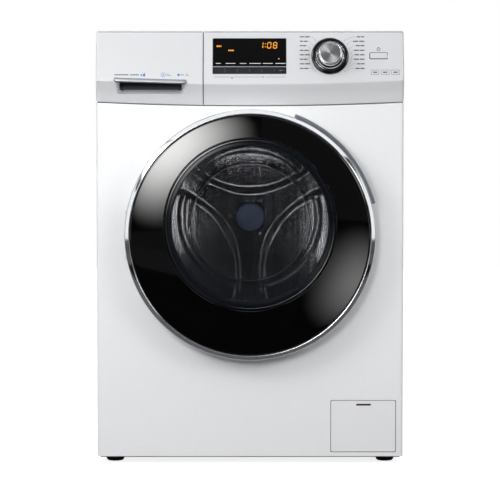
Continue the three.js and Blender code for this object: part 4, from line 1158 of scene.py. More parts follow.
# A closed sheet between circles that may have different centres, each given as (centre z, radius, y).
# The y is a number, or ("dome", how far behind the dome).
def domeSheet(name, rings, facets=192):
    count = len(rings)
    verts, faces = [], []
    for z, r, y in rings:
        for k in range(facets):
            a = 2 * math.pi * k / facets
            px, pz = r * math.cos(a), z + r * math.sin(a)
            verts.append((px, domeY(px, pz) + y[1] if isinstance(y, tuple) else y, pz))
    for i in range(count):
        j = (i + 1) % count
        for k in range(facets):
            m = (k + 1) % facets
            faces.append((i * facets + k, i * facets + m, j * facets + m, j * facets + k))
    return newPiece(name, verts, faces, 40)


def buildDoorFront():
    window, wall, backRadius = 168.0, dome["wall"], 217.5
    outer = []
    for k in range(13):
        t = k / 12
        outer.append((axisZ + (doorZ - axisZ) * t, window + (dome["flat"] - window) * t, ("dome", 0.0)))
    edge = softened([(dome["flat"], domeY(dome["flat"], doorZ)), (dome["rim"], frontY - 36.9),
                     (dome["rim"], frontY + dome["rimY"])], [0, 20, 0], 10, closed=False)
    for r, y in edge[1:]:
        outer.append((doorZ, r, y))
    back = [(doorZ, dome["rim"] - wall, frontY + dome["rimY"] - 0.4), (doorZ, backRadius, frontY - 35.2)]
    inner = [(axisZ + (doorZ - axisZ) * t, window + (backRadius - window) * t, ("dome", wall))
             for t in (0.66, 0.33, 0.0)]
    lip = [(axisZ, window, ("dome", 0.5))]
    outer[0] = (axisZ, window + 0.5, ("dome", 0.0))
    cover = domeSheet("door_glass_ring", outer + back + inner + lip)
    dress(cover, "door", "acrylicBlack", "black_gloss", "door_cover")

    radius = window - 0.35
    steps = [0.4] + [12 * k for k in range(1, 14)] + [radius - 0.6]
    # The lens is flatter than the ring about it, so the two don't mirror the same thing
    low = frontY - 43.4
    front = [(axisZ, r, low - 0.9 * (1 - (r / radius) ** 2)) for r in steps] + [(axisZ, radius, low + 0.4)]
    rear = [(axisZ, r, low + wall) for r in [radius] + steps[::-1]]
    lens = domeSheet("door_lens", front + rear)
    dress(lens, "door", "smokedLens", "smoked_lens", "door_window")
    rim = turned("lens_rim_band",
                 softened([(154, -41.4), (168.6, -38.9), (168.6, -36.4), (154, -38.9)], 0.8, 3), facets=192)
    dress(rim, "door", "rimBlue", "black_gloss")
    trim = turned("lens_rim_trim",
                  softened([(162.2, -41.6), (163.6, -41.6), (163.6, -40.2), (162.2, -40.2)], 0.5, 3),
                  facets=192)
    dress(trim, "door", "chrome", "chrome_trim")


def buildDoorRing():
    profile = softened([(234.2, -29.0), (234.2, -37.4), (235.4, -37.9), (243.0, -33.2), (244, -29),
                        (244, -6), (242, -4), (238, -4), (238, -27), (236, -29)],
                       [0.3, 0.7, 0.9, 1.6, 1.4, 1.2, 0.8, 0.5, 0.5, 0.3], 5)
    ring = turned("door_ring", profile, 0, doorZ, 192, 40)
    hinge = span("hinge_pin")
    notch = block("notch", -262, -222, frontY - 28.7, frontY + 5, hinge[0][2] - 6, hinge[1][2] + 6, 1, 0)
    carve(ring, notch, sharp=40)
    dress(ring, "door", "chrome", "chrome_trim", "door_trim_ring")
    grip = {"inner": 244.45, "outer": 251.0, "from": 14.4, "to": 69.5, "y": (-32, -23), "steps": 60,
            "round": 2.4}
    steps = grip["steps"]
    outline = ringPoints(0, doorZ, grip["outer"], steps, grip["from"], grip["to"])
    outline += ringPoints(0, doorZ, grip["inner"], steps, grip["from"], grip["to"])[::-1]
    radii = [grip["round"] if i in (0, steps - 1) else 0.0 for i in range(2 * steps)]
    handle = extruded("door_grip", softened(outline, radii, 4), frontY + grip["y"][0], frontY + grip["y"][1],
                      1.6, 4, 40)
    dress(handle, "door", "metallicLacquer", "grey_metallic", "door_handle")


# The inner frame that shows when the door stands open, with a raised rib and screws round the glass.
def buildDoorFrame():
    profile = softened([(150, -8), (231, -8), (231, -26.5), (237.5, -26.5), (237.5, -4), (229, -3.2),
                        (222, -4), (196, -4), (192, -5.4), (180, -5.4), (176, -3.4), (170, -3.4), (166, -4),
                        (150, -4)],
                       [0, 0.8, 0.8, 0.4, 2, 2, 2, 1, 1, 1, 1, 1, 1, 0], 3)
    frameRing = turned("door_inner_frame", profile, 0, doorZ, 192, 40)
    hinge = span("hinge_pin")
    notch = block("notch", -260, -206, frontY - 28.7, frontY + 5, hinge[0][2] - 6, hinge[1][2] + 6, 1, 0)
    hole = turned("hole", [(0, -40), (162, -40), (162, 5), (0, 5)], facets=192)
    hook = block("hook", 203, 215, frontY - 12, frontY, doorZ - 8, doorZ + 8, 1, 0)
    carve(frameRing, hole, notch, hook, sharp=40)
    dress(frameRing, "door", "abs", "white_plastic", "door_frame")
    circle, places = 206, []
    for k in range(10):
        a = math.radians(18 + 36 * k)
        if abs(math.sin(a)) * circle < 60 and abs(k - 4.5) > 3:  # leaves the latch's side free
            continue
        places.append((circle * math.cos(a), frontY - 4.2, doorZ + circle * math.sin(a), 0, 1, 0))
    screwsAt("door_frame_screws", "door", places)


def buildBowl():
    wall = softened([(118.2, 94.2), (118.0, 94), (146, 10), (150, -8), (154, -11.5), (172, -11.5),
                     (172, -8.6), (158, -8.6), (154, 12), (126.6, 94.0)], [0, 0, 14, 6, 3, 1, 1, 5, 14, 0], 6)
    bowl = turned("bowl_glass", wall, facets=192, sharp=50)
    dress(bowl, "door", "bowlWall", "clear_glass", "glass_bowl")
    end = softened([(0, 94.2), (118, 94.2), (126.4, 94.2), (124.4, 99.4), (115, 102), (60, 101.4),
                    (0, 101.0)],
                   [0, 0, 0.2, 4, 6, 20, 0], 6)
    cap = turned("bowl_end_glass", end, facets=192, sharp=50)
    dress(cap, "door", "clearGlass", "clear_glass", "glass_bowl_end")
    # painted highlight: a pale glass bead on the end's rim, which shows as a bright line along the edge
    bead = turned("bowl_end_bead", softened([(116.6, 92.4), (117.9, 92.4), (117.9, 94), (116.6, 94)], 0.5, 3),
                  facets=192)
    dress(bead, "door", "beadGlassGlint", "clear_glass")


buildDoorFront()
buildDoorRing()
buildDoorFrame()
buildBowl()
print("door ready")


def buildGasket():
    profile = [(166, -2.4), (178, -2.4), (178, -0.5), (172, -0.5), (172, 2.4), (182, 2.4), (182, 5.6),
               (171, 5.6), (171, 22), (187, 28), (187, 43), (172.5, 48), (171, 60), (181, 64), (181, 81),
               (177.2, 81), (177.2, 67), (167, 62), (169, 45), (183.4, 40), (183.4, 31), (168, 25.6),
               (154, 19.5), (154, 17), (165, 18.6)]
    radii = [1.5, 0.8, 0.5, 0.5, 0.5, 0.8, 0.8, 2, 3, 5, 6, 6, 3, 2, 1.5, 1, 3, 6, 6, 5, 3, 4, 1, 0.8, 5]
    seal = turned("door_seal", softened(profile, radii, 4), facets=144, sharp=50)
    seal.data.materials.append(finishes["sealRubber"])
    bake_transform(seal)
    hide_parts("door_gasket")


buildGasket()


# A cylinder of sheet pierced by a staggered pattern of holes: one pierced cell is repeated over a flat
# grid, and the grid is then wrapped round the drum's axis and its cells are joined.
def piercedCell(pitch, row, hole, wall):
    corners = [(-0.5, -0.5), (0, -0.5), (0.5, -0.5), (0.5, 0), (0.5, 0.5), (0, 0.5), (-0.5, 0.5), (-0.5, 0)]
    verts, faces = [], []
    for depth in (0, wall):
        verts += [(cx * pitch, cy * row, depth) for cx, cy in corners]
        verts += [(hole * math.cos(math.radians(225 + 45 * k)), hole * math.sin(math.radians(225 + 45 * k)),
                   depth)
                  for k in range(8)]
    for k in range(8):
        m = (k + 1) % 8
        faces += [(k, m, 8 + m, 8 + k), (16 + m, 16 + k, 24 + k, 24 + m), (8 + k, 8 + m, 24 + m, 24 + k)]
    mesh = bpy.data.meshes.new("piercedCell")
    mesh.from_pydata([Vector(v) * mm for v in verts], [], faces)
    return bpy.data.objects.new("piercedCell", mesh)


def makeWrapTree():
    tree, inputs = newTree("wrapSheet",
                           {"Cell": ("NodeSocketObject", None), "Radius": ("NodeSocketFloat", 0.243),
                                         "Axis height": ("NodeSocketFloat", 0.473),
                                         "Material": ("NodeSocketMaterial", None)})
    cell = addNode(tree, "GeometryNodeObjectInfo", links={"Object": (inputs, "Cell")})
    spread = addNode(tree, "GeometryNodeInstanceOnPoints",
                     links={"Points": (inputs, "Geometry"), "Instance": (cell, "Geometry")})
    flat = addNode(tree, "GeometryNodeRealizeInstances", links={"Geometry": (spread, "Instances")})
    where = addNode(tree, "GeometryNodeInputPosition")
    parts = addNode(tree, "ShaderNodeSeparateXYZ", links={"Vector": (where, "Position")})
    angle = addNode(tree, "ShaderNodeMath", {"operation": "DIVIDE"}, {0: (parts, "X"), 1: (inputs, "Radius")})
    reach = addNode(tree, "ShaderNodeMath", {"operation": "ADD"}, {0: (parts, "Z"), 1: (inputs, "Radius")})
    cos = addNode(tree, "ShaderNodeMath", {"operation": "COSINE"}, {0: (angle, "Value")})
    sin = addNode(tree, "ShaderNodeMath", {"operation": "SINE"}, {0: (angle, "Value")})
    x = addNode(tree, "ShaderNodeMath", {"operation": "MULTIPLY"}, {0: (cos, "Value"), 1: (reach, "Value")})
    z = addNode(tree, "ShaderNodeMath", {"operation": "MULTIPLY_ADD"},
                {0: (sin, "Value"), 1: (reach, "Value"), 2: (inputs, "Axis height")})
    place = addNode(tree, "ShaderNodeCombineXYZ",
                    links={"X": (x, "Value"), "Y": (parts, "Y"), "Z": (z, "Value")})
    bent = addNode(tree, "GeometryNodeSetPosition",
                   links={"Geometry": (flat, "Geometry"), "Position": (place, "Vector")})
    sewn = addNode(tree, "GeometryNodeMergeByDistance", {"Distance": 0.00005},
                   {"Geometry": (bent, "Geometry")})
    return finishTree(tree, sewn, "Geometry")


# The drum's back: a raised Y with soft edges, whose arms run to the lifters, and three sunk lobes between.
def backPlate():
    plate = {"raised": 421.0, "sunk": 12.0, "hub": 54.0, "bow": 0.0030, "radius": 243.6, "thick": 1.2}

    def awayFromArms(x, z):
        away = []
        for degrees in (90, 210, 330):
            a = math.radians(degrees)
            out, across = x * math.cos(a) + z * math.sin(a), -x * math.sin(a) + z * math.cos(a)
            away.append(out - plate["hub"] - plate["bow"] * across * across)
        return max(away)

    def heightAt(x, z):
        r = math.hypot(x, z)
        away = min(max((awayFromArms(x, z) + 2) / 11, 0.0), 1.0)
        y = plate["raised"] + plate["sunk"] * away * away * (3 - 2 * away)
        y += 2.2 * math.exp(-((r - 150) / 3.5) ** 2) * (away if away > 0.6 else 0)
        edge = min(max((r - 222) / 21.6, 0.0), 1.0)
        return y * (1 - edge) + (434 - 11 * edge) * edge if edge else y

    radii = [0.6] + [6 * k for k in range(1, 37)] + [219, 222, 226, 230, 234, 238, 241, plate["radius"]]
    facets = 180
    verts, faces = [], []
    for offset in (0.0, plate["thick"]):
        for r in radii:
            for k in range(facets):
                a = 2 * math.pi * k / facets
                x, z = r * math.cos(a), r * math.sin(a)
                verts.append((x, frontY + heightAt(x, z) + offset, axisZ + z))
    rings = len(radii)
    order = list(range(rings)) + list(range(2 * rings - 1, rings - 1, -1))
    for i in range(2 * rings):
        p, q = order[i], order[(i + 1) % (2 * rings)]
        for k in range(facets):
            m = (k + 1) % facets
            faces.append((p * facets + k, p * facets + m, q * facets + m, q * facets + k))
    return newPiece("drum_back_plate", verts, faces, 50)


def buildDrum():
    drum = {"radius": 243.0, "wall": 1.0, "around": 120, "row": 13.0, "hole": 1.9, "front": 112, "rows": 24}
    r, wall = drum["radius"], drum["wall"]
    pitch = 2 * math.pi * r / drum["around"]
    cell = piercedCell(pitch, drum["row"], drum["hole"], wall)
    points = [(pitch * (i + 0.5), frontY + drum["front"] + drum["row"] * (j + 0.5), 0)
              for i in range(drum["around"]) for j in range(drum["rows"])]
    mesh = bpy.data.meshes.new("grid")
    mesh.from_pydata([Vector(p) * mm for p in points], [], [])
    sheet = grown("drum_wall", makeWrapTree(), mesh,
                  {"Cell": cell, "Radius": r * mm, "Axis height": axisZ * mm,
                                                      "Material": finishes["stainless"]})
    dress(sheet, "drum", "stainless", "stainless", "drum")
    mouth = [(160.4, 98.6), (161.6, 95.6), (165, 95.6), (170, 99.4), (234, 103.5), (243.4, 112), (244.6, 112),
             (244.6, 104), (232, 101.4), (170, 97.6), (165.4, 94.2), (160.6, 94.4), (159.6, 98.6)]
    front = turned("drum_front_ring",
                   softened(mouth, [0.4, 1.5, 1.5, 2, 5, 1, 0.3, 4, 4, 2, 1.5, 1.5, 0.4], 3), facets=144)
    dress(front, "drum", "stainless", "stainless")
    dress(backPlate(), "drum", "streakedStainless", "stainless")
    hub = turned("drum_hub_cap", softened([(0, 408), (20, 409), (30, 413), (31.5, 421.5), (0, 421.5)],
                                          [0, 10, 4, 0.5, 0], 6), facets=96)
    dress(hub, "drum", "hubSlate", "grey_plastic")
    collar = turned("drum_hub_ring", softened([(31.8, 417), (35, 417), (36.4, 422), (31.8, 422)], 0.8, 3),
                    facets=96)
    dress(collar, "drum", "rimBlue", "grey_plastic")
    reach, bosses = 44, []
    for k in range(3):
        a = math.radians(30 + 120 * k) + 0.5
        bosses.append((reach * math.cos(a), frontY + 417.3, axisZ + reach * math.sin(a), 0, -1, 0))
    screwsAt("drum_back_bolts", "drum", bosses, 1.2, "groundSteel")


# A lifter is a hollow paddle with a rounded crest. It swells towards its middle, and its ends slope in.
def buildLifters():
    paddle = {"front": 120.0, "back": 405.0, "foot": 32.0, "crest": 12.5, "height": 56.0, "reach": 241.6,
              "jets": 9, "firstJet": 160, "jetStep": 24}
    for index, angle in enumerate((270, 30, 150)):
        sections = []
        for k in range(25):
            t = k / 24
            swell = math.sin(math.pi * min(max(t, 0.015), 0.985)) ** 0.32
            y = frontY + paddle["front"] + (paddle["back"] - paddle["front"]) * t
            h, tip = paddle["height"] * swell, paddle["crest"] * swell
            foot = paddle["foot"] * (0.55 + 0.45 * swell)
            low = paddle["reach"]
            edge = low - foot ** 2 / (2 * low)
            half = [(foot * 0.62, low - h * 0.42), (tip, low - h * 0.92)]
            corners = [(-foot, edge), *((-x, z) for x, z in half), (0, low - h * 1.02), *half[::-1],
                       (foot, edge)]
            ring = softened(corners, [0, 10, 8, 6, 8, 10, 0], 4)
            sections.append([(x, y, axisZ + z) for x, z in ring])
        body = lofted(f"drum_lifter_{index + 1}", sections, 40)
        turnAbout(body, 90 - angle, "Y", (0, 0, axisZ))
        dress(body, "drum", "lifterGrey", "grey_plastic", f"lifter_{index + 1}")
        a, reach = math.radians(angle), paddle["reach"] - paddle["height"]
        places = [(reach * math.cos(a), frontY + paddle["firstJet"] + paddle["jetStep"] * k,
                   axisZ + reach * math.sin(a), -math.cos(a), 0, -math.sin(a)) for k in range(paddle["jets"])]
        dots = repeated(f"lifter_jets_{index + 1}", jetPart, places, finishes["darkPlastic"])
        dress(dots, "drum", "darkPlastic", "grey_plastic")


def jetRing():
    ring = turnedUp("jetRing", [(1.6, -0.4), (3.4, -0.4), (3.4, 0.5), (2.9, 0.9), (2.0, 0.9), (1.6, 0.4)], 0,
                    0, 14)
    scene.collection.objects.unlink(ring)
    return ring


jetPart = jetRing()
buildDrum()
buildLifters()
print("drum ready")


# A piece that starts from a frame node's own mesh, merged first.
def carvedCopy(node, name):
    obj = linked(name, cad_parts[node].data.copy())
    build = cleanBuild(obj.data, 5e-6, 1.0)
    build.to_mesh(obj.data)
    build.free()
    return obj


# The wrapped body: two sides and a back in one bend, with a pressed panel in each side and louvres behind.
def buildBody():
    shell = {"corner": 5.0, "press": 0.7, "panel": (-150, 225, 120, 640), "louvres": 9}
    body = carvedCopy("cabinet_shell", "cabinet_body")
    easeWhere(body, shell["corner"], 4, lambda a, b: abs(a.y - backY) < 0.1 and abs(b.y - backY) < 0.1
              and abs(abs(a.x) - side) < 0.1 and abs(abs(b.x) - side) < 0.1)
    y0, y1, z0, z1 = shell["panel"]
    cutters = []
    for hand in (-1, 1):
        panel = extruded("press", roundedRect(y0, y1, z0, z1, 26, 8), -2, 2)
        easeEdges(panel, 1.2, 3)
        moved(turnAbout(panel, 90, "Z"), hand * (side + 2 - shell["press"]), 0, 0)
        cutters.append(panel)
    for k in range(shell["louvres"]):
        z = 742 + 6.5 * k
        cutters.append(block("vent", 120, 190, backY - 10, backY + 5, z, z + 2.6, 1.2, 0))
    carve(body, *cutters)
    dress(body, "cabinet", "powderCoat", "white_paint", "cabinet_shell")


# The service cover on the back, pressed with a dome for the motor and screwed on round its edge.
def buildRearCover():
    cover = {"half": 212, "z": (118, 702), "y": (0.35, 2.0)}
    plate = extruded("rear_cover_plate", roundedRect(-cover["half"], cover["half"], *cover["z"], 8),
                     backY + cover["y"][0], backY + cover["y"][1])
    outer = softened([(0, 549), (120, 549), (146, 541), (150, 541.5), (150, 540.6), (0, 540.6)],
                     [0, 10, 6, 0, 0, 0], 5)
    swell = turned("swell", outer, facets=128)
    inner = softened([(0, 547.5), (119, 547.5), (143, 539), (0, 539)], [0, 9, 4, 0], 5)
    cavity = turned("cavity", inner, facets=128)
    carve(plate, swell, operation="UNION")
    grooves = []
    for x in (-188, 188):
        grooves.append(block("groove", x - 3, x + 3, backY + 1.4, backY + 6, 150, 670, 3, 0.4))
    carve(plate, cavity, *grooves)
    easeEdges(plate, 0.4, 2, 32, 60)
    dress(plate, "cabinet", "zinc", "steel", "rear_cover")
    z0, z1 = cover["z"]
    places = [(x, backY + 2.0, z, 0, 1, 0) for x in (-203, -70, 70, 203) for z in (z0 + 9, z1 - 9)]
    places += [(x, backY + 2.0, z, 0, 1, 0) for x in (-203, 203) for z in (260, 410, 560)]
    places += [(x, backY, z, 0, 1, 0) for x in (-288, 288) for z in (60, 300, 540, 780)]
    screwsAt("rear_screws", "cabinet", places)
    plugs = []
    for x in (-150, 150):
        for z in (75, 728):
            plugs.append(turned("plug", softened([(0, 545.5), (9, 545.5), (11, 544), (12, 540.1), (0, 540.1)],
                                                 [0, 1, 1, 0, 0], 3), x, z, 48))
    caps = join("transport_bolt_plugs", plugs)
    dress(caps, "cabinet", "polypropylene", "white_plastic")


def buildFeet():
    foot = {"ribs": 20, "grip": 19.0, "rib": 0.5, "thread": (5.0, 4.3), "pitch": 1.5, "turns": 26}
    for corner in ("front_left", "front_right", "rear_left", "rear_right"):
        low, high = span(f"foot_{corner}")
        x, y = (low[0] + high[0]) / 2, (low[1] + high[1]) / 2
        pad = turnedUp("pad",
                       softened([(0, 0), (15.5, 0), (18, 4), (19.5, 9), (19.5, 14), (9, 15.5), (0, 15.5)],
                                       [0, 1.5, 3, 2, 1.5, 1, 0], 4), x, y, 64)
        teeth = []
        for k in range(2 * foot["ribs"]):
            r, a = foot["grip"] + (foot["rib"] if k % 2 else 0), math.pi * k / foot["ribs"]
            teeth.append((r * math.cos(a), r * math.sin(a)))
        grip = extruded("grip", teeth, -3, 2)
        moved(turnAbout(grip, 90, "X"), x, y, 10.5)
        row, hand = corner.split("_")
        name = "foot_" + row[0] + hand[0]
        dress(join(f"{name}_pad", [pad, grip]), name, "blackRubber", "black_rubber", f"foot_{corner}")
        thread = []
        crest, root = foot["thread"]
        for k in range(foot["turns"]):
            h = 17.4 + foot["pitch"] * k
            thread += [(crest, h), (root, h + foot["pitch"] / 2)]
        stem = turnedUp(f"{name}_stem",
                        [(0, 15.5), (crest, 15.5), (crest, 17)] + thread + [(4.6, 56), (0, 56)], x, y, 20, 60)
        dress(stem, name, "zinc", "steel")
        nut = extruded("nut", ringPoints(0, 0, 9.6, 6), -2.6, 2.6, 0.6)
        carve(nut, extruded("hole", ringPoints(0, 0, 5.4, 24), -6, 6))
        moved(turnAbout(nut, 90, "X"), x, y, 22.4)
        nut.name = f"{name}_nut"
        dress(nut, name, "zinc", "steel")


def buildHatch():
    low, high = span("filter_hatch")
    leaf = extruded("hatch_leaf", roundedRect(low[0] + 0.4, high[0] - 0.4, low[2] + 0.4, high[2] - 0.4, 3),
                    frontY + 0.1, frontY + 2.3, 0.5)
    carve(leaf, block("slot", 208, 237.3, frontY - 5, frontY + 10, 116.0, 119.8, 1.8, 0))
    rib = block("rib", low[0] + 6, high[0] - 6, frontY + 2.1, frontY + 3.4, low[2] + 5, low[2] + 9, 0.6, 0.3)
    dress(join("hatch_leaf", [leaf, rib]), "hatch", "absMatched", "white_plastic", "filter_hatch")
    back = block("hatch_seal", low[0] - 4, high[0] + 4, frontY + 4.0, frontY + 4.8, low[2] - 4, high[2] + 4,
                 4, 0.2)
    carve(back, block("hole", low[0] + 5, high[0] - 5, frontY, frontY + 10, low[2] + 4, high[2] - 14, 3, 0))
    dress(back, "cabinet", "blackRubber", "black_rubber")
    low, high = span("filter_plug")
    x, z = (low[0] + high[0]) / 2, (low[2] + high[2]) / 2
    plug = {"notches": 18}
    disc = turned("filter_cap",
                  softened([(0, 11), (30, 11), (31, 13), (31, 29), (26.6, 29), (26.6, 40), (0, 40)],
                                         [0, 1.5, 1, 1.5, 0.5, 1, 0], 3), x, z, 72)
    grip = block("grip", x - 24, x + 24, frontY + 4, frontY + 12, z - 4, z + 4, 3, 1.2)
    core = turned("core", softened([(0, 39), (20, 39), (17, 80), (0, 80)], [0, 1, 3, 0], 3), x, z, 32)
    fins = [turnAbout(block("fin", x + 30.4, x + 31.0, frontY + 14, frontY + 28, z - 1.2, z + 1.2, 0.3, 0),
                      20 * k, "Y", (x, 0, z)) for k in range(plug["notches"])]
    dress(join("filter_cap", [disc, grip, core] + fins), "filter", "bluePlastic", "blue_plastic",
          "filter_plug")


buildBody()
buildRearCover()
buildFeet()
buildHatch()
print("body, back, feet and hatch ready")


def buildTray():
    tray = {"x": (-283, -107), "y": (18.9, 230), "z": (738, 806), "wall": 2.5,
            "walls": (-212, -209.5, -172, -169.5)}
    (x0, x1), (z0, z1), wall = tray["x"], tray["z"], tray["wall"]
    y0, y1 = frontY + tray["y"][0], frontY + tray["y"][1]
    a, b, c, d = tray["walls"]
    body = block("drawer_tray_moulding", x0, x1, y0, y1, z0, z1, 4, 1.0)
    rooms = []
    for p, q in ((x0 + wall, a), (b, c), (d, x1 - wall)):
        room = extruded("room", roundedRect(p, q, y0 + wall, y1 - wall, 6, 5), -z1 - 10, -z0 - wall, 3.0, 4)
        rooms.append(turnAbout(room, -90, "X"))
    carve(body, *rooms)
    dress(body, "drawer", "polypropylene", "white_plastic", "drawer_tray")
    x, y = (b + c) / 2, y0 + 142
    lid = block("siphon_lid", b + 0.6, c - 0.6, y0 + 100, y0 + 185, z1 - 8, z1 - 5, 1, 0.5)
    post = turnedUp("post", [(0, z0 + wall), (8, z0 + wall), (7, z1 - 6), (0, z1 - 6)], x, y, 28)
    rim = turnedUp("rim", [(9, z1 - 5.4), (12, z1 - 5.4), (12, z1 - 3.6), (9, z1 - 3.6)], x, y, 28)
    dress(join("siphon_lid", [lid, post, rim]), "drawer", "bluePlastic", "blue_plastic")
    marks = []
    for level, row in ((748, 10), (758, 14), (768, 10), (778, 14), (788, 10)):
        marks.append(block("mark", x1 - 3.0 - 0.1, x1 - 2.0 - 0.4, y0 + 90, y0 + 90 + row, level, level + 0.8,
                           0.2, 0))
    dress(join("tray_level_marks", marks), "drawer", "blueInk", "blue_plastic")


# Ribbed plastic shell of the tub: rings and spokes stand out of the CAD walls.
def buildTub():
    r = (span("tub_front")[1][0] - span("tub_front")[0][0]) / 2 - 6
    ribs = {"tub_front_ribs": (110, 150, 190, 228), "tub_rear_ribs": (290, 330, 372, 414, 448)}
    for name, rings in ribs.items():
        hoops = [turned("hoop", softened([(r - 0.5, y), (r + 3.2, y + 0.4), (r + 3.2, y + 2.6),
                                          (r - 0.5, y + 3)], 0.5, 2),
                        facets=96) for y in rings]
        dress(join(name, hoops), "tub", "tubPlastic", "tub_plastic")
    places = []
    for k in range(20):
        a = math.radians(9 + 18 * k)
        places.append(((r + 4.6) * math.cos(a), frontY + 263.6, axisZ + (r + 4.6) * math.sin(a), 0, 1, 0))
    screwsAt("tub_flange_screws", "tub", places, 0.9)
    spokes = []
    for k in range(12):
        spoke = block("spoke", -2, 2, frontY + 462.5, frontY + 466, axisZ + 112, axisZ + 255, 1, 0.5)
        spokes.append(turnAbout(spoke, 15 + 30 * k, "Y", (0, 0, axisZ)))
    dress(join("tub_rear_spokes", spokes), "tub", "tubPlastic", "tub_plastic")


# A coil spring: a spiral curve stood on its axis, swept with round wire, with a hook at each end.
def makeSpringTree():
    tree, inputs = newTree("coilSpring",
                           {"Turns": ("NodeSocketFloat", 14.0), "Coil radius": ("NodeSocketFloat", 0.01),
                                          "Length": ("NodeSocketFloat", 0.13),
                            "Wire": ("NodeSocketFloat", 0.0016),
                                          "Material": ("NodeSocketMaterial", None)})
    spiral = addNode(tree, "GeometryNodeCurveSpiral", {"Resolution": 24}, {
        "Rotations": (inputs, "Turns"), "Start Radius": (inputs, "Coil radius"),
                                                                           "End Radius": (inputs,
                                                                                          "Coil radius"),
        "Height": (inputs, "Length")})
    wire = addNode(tree, "GeometryNodeCurvePrimitiveCircle", {"Resolution": 10}, {"Radius": (inputs, "Wire")})
    sweep = addNode(tree, "GeometryNodeCurveToMesh", {"Fill Caps": True},
                    {"Curve": (spiral, "Curve"), "Profile Curve": (wire, "Curve")})
    return finishTree(tree, sweep, "Mesh")


def buildSprings():
    spring = {"top": (258, 40, 814.3), "low": (222, 40, 668), "coil": 10.0, "wire": 1.7, "turns": 15.0,
              "stub": 12.0}
    tree = makeSpringTree()
    for hand, word in ((-1, "left"), (1, "right")):
        top, low = (Vector((hand * x, y, z)) for x, y, z in (spring["top"], spring["low"]))
        along, length = (top - low).normalized(), (top - low).length
        coil = grown("coil", tree, bpy.data.meshes.new("coil"),
                     {"Turns": spring["turns"], "Coil radius": spring["coil"] * mm,
                      "Wire": spring["wire"] * mm, "Length": (length - 2 * spring["stub"]) * mm,
                      "Material": finishes["zinc"]}, 60)
        turn = Vector((0, 0, 1)).rotation_difference(along).to_matrix()
        place(coil, Matrix.Translation((low + along * spring["stub"]) * mm) @ turn.to_4x4())
        ends = []
        across = turn @ Vector((1, 0, 0))
        for start, sign in ((low, 1), (top, -1)):
            tip = start + along * sign * (spring["stub"] + 0.4)
            path = [start + along * sign, start + along * sign * 7, tip - along * sign * 1.5,
                    tip + across * spring["coil"] * 0.6, tip + across * spring["coil"]]
            ends.append(tube("hook", path, spring["wire"], 10, 5))
        whole = join(f"tub_spring_{word}", [coil] + ends, 60)
        whole.data.materials.clear()
        whole.data.materials.append(finishes["zinc"])
        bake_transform(whole)
        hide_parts(f"suspension_spring_{word}")


# The corrugated hose from the tub's sump to the pump.
def buildSumpHose():
    hose = {"radius": 14.6, "fold": 1.5, "pitch": 7.0}
    route = [(70, 330, 178.4), (70, 329, 150), (70, 312, 120), (78, 250, 96), (100, 150, 80), (126, 92, 80),
             (168, 80, 81)]
    path = smoothPath([Vector((x, frontY + y, z)) for x, y, z in route], 24)
    run, radii = 0.0, []
    for i, point in enumerate(path):
        run += (point - path[i - 1]).length if i else 0.0
        near = min(i, len(path) - 1 - i) / 10
        radii.append(hose["radius"] - 0.6
                     + hose["fold"] * math.cos(2 * math.pi * run / hose["pitch"]) * min(near, 1) * 0.6)
    body = tube("sump_bellows", path, hose["radius"], 24, 0, radii)
    body.data.materials.append(finishes["blackRubber"])
    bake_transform(body)
    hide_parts("sump_hose")


def buildDampers():
    damper = {"foot": (225.0, 16.0, 52.0), "head": (162.3, 16.0, 241.2), "rings": (26, 44, 62, 80, 98, 113)}
    for hand, word in ((-1, "left"), (1, "right")):
        foot, head = (Vector((hand * x, y, z)) for x, y, z in (damper["foot"], damper["head"]))
        along = (head - foot).normalized()
        turn = Vector((0, 0, 1)).rotation_difference(along).to_matrix().to_4x4()
        rings = []
        for at in damper["rings"]:
            rings.append(turnedUp("ring", softened([(12.9, at), (14.0, at + 0.6), (14.0, at + 3.4),
                                                    (12.9, at + 4)], 0.4, 2),
                                  0, 0, 32))
        collar = join(f"damper_rings_{word}", rings)
        place(collar, Matrix.Translation(foot * mm) @ turn)
        dress(collar, f"damper_{word}", "darkPlastic", "grey_plastic")


def buildConcrete():
    for node, name in (("counterweight_top", "upper_weight"), ("counterweight_front", "front_weight")):
        weight = carvedCopy(node, name)
        easeEdges(weight, 3.0, 2, 40, 40)
        dress(weight, "tub", "concrete", "concrete", node)


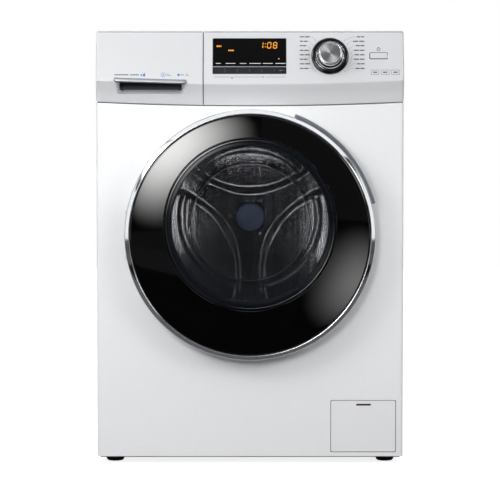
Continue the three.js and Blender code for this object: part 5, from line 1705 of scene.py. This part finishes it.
def buildSmallParts():
    for node, name, body, finish, slot in (
            ("inlet_valve", "water_valve", "cabinet", "polypropylene", "white_plastic"),
            ("drain_pump", "pump_body", "cabinet", "darkPlastic", "grey_plastic"),
            ("door_lock", "lock_case", "cabinet", "darkPlastic", "grey_plastic"),
            ("hinge_bracket", "hinge_plate", "cabinet", "castAlloy", "cast_alloy"),
            ("door_hinge_arm", "hinge_arm", "door", "castAlloy", "cast_alloy"),
            ("door_hook", "latch_hook", "door", "zinc", "steel")):
        piece = carvedCopy(node, name)
        easeEdges(piece, 0.7, 2, 40, 45)
        dress(piece, body, finish, slot, node)
    inlet = {"x": -235.0, "z": 770.0, "bore": 10.2, "root": 12.2, "crest": 13.2, "pitch": 1.8, "turns": 7}
    turns = []
    for k in range(inlet["turns"]):
        h = backY - frontY + 1.5 + inlet["pitch"] * k
        turns += [(inlet["root"], h), (inlet["crest"], h + inlet["pitch"] / 2)]
    profile = [(inlet["bore"], 540.2)] + turns + [(inlet["root"], 553.8), (inlet["bore"], 553.8)]
    thread = turned("inlet_thread", profile, inlet["x"], inlet["z"], 48, 60)
    dress(thread, "cabinet", "polypropylene", "white_plastic")
    bolts = [(-190, frontY - 2.6, 412, 0, -1, 0), (-190, frontY - 2.6, 492, 0, -1, 0),
             (-199, frontY - 2.6, 452, 0, -1, 0)]
    screwsAt("hinge_screws", "cabinet", bolts)
    places = [(228 - 26 * (k % 2), frontY + 0.0, doorZ + 26 - 52 * (k // 2), 0, -1, 0) for k in range(4)]
    screwsAt("lock_screws", "cabinet", places, 0.8)


# Copper windings, one swelling coil on each tooth of the stator.
def buildMotor():
    motor = {"teeth": 12, "inner": 64.0, "outer": 92.0, "y": (468.6, 495.4), "half": 9.5, "swell": 0.35,
             "layers": 7}
    y0, y1 = motor["y"]
    last = motor["layers"] - 1
    coils = []
    for k in range(motor["teeth"]):
        layers = []
        for layer in range(motor["layers"]):
            r = motor["inner"] + 2 + (motor["outer"] - motor["inner"] - 4) * layer / last
            w = motor["half"] + layer * motor["swell"]
            layers.append([(x, y, axisZ + r) for x, y in roundedRect(-w, w, frontY + y0, frontY + y1, 3, 3)])
        coils.append(turnAbout(lofted("coil", layers), 30 * k + 90, "Y", (0, 0, axisZ)))
    dress(join("stator_windings", coils), "tub", "copper", "copper")


buildTray()
buildTub()
buildSprings()
buildSumpHose()
buildDampers()
buildConcrete()
buildSmallParts()
buildMotor()
print("inside ready")


# Finishes for the frame's own nodes: those that stay in view, and those that a piece stands for.
def fallbackFinishes():
    given = {
        "powderCoat": "cabinet_shell front_panel", "laminate": "top_cover",
        "abs": "control_panel power_button drawer_front dispenser_housing door_frame filter_hatch",
        "polypropylene": "drawer_tray inlet_valve",
             "acrylicBlack": "display_window touch_strip knob_bezel door_cover",
        "smokedLens": "door_window", "clearGlass": "glass_bowl glass_bowl_end",
        "chrome": "programme_knob drawer_handle door_trim_ring",
        "groundSteel": "knob_cap hinge_pin drum_shaft bearing_front bearing_rear",
        "stainless": "drum heater",
             "zinc": "base_pan rear_cover door_hook motor_rotor suspension_spring_left "
        "suspension_spring_right damper_rod_left damper_rod_right",
        "castAlloy": "door_hinge_arm hinge_bracket drum_spider", "metallicLacquer": "door_handle",
        "sealRubber": "door_gasket",
             "blackRubber": "sump_hose foot_front_left foot_front_right foot_rear_left "
        "foot_rear_right", "tubPlastic": "tub_front tub_rear",
        "darkPlastic": "door_lock lifter_1 lifter_2 lifter_3 damper_cylinder_left damper_cylinder_right "
        "drain_pump",
        "bluePlastic": "filter_plug", "circuitBoard": "control_board",
        "concrete": "counterweight_top counterweight_front", "copper": "motor_stator",
    }
    for finish, nodes in given.items():
        for node in nodes.split():
            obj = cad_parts[node]
            obj.data.materials.clear()
            obj.data.materials.append(finishes[finish])


fallbackFinishes()
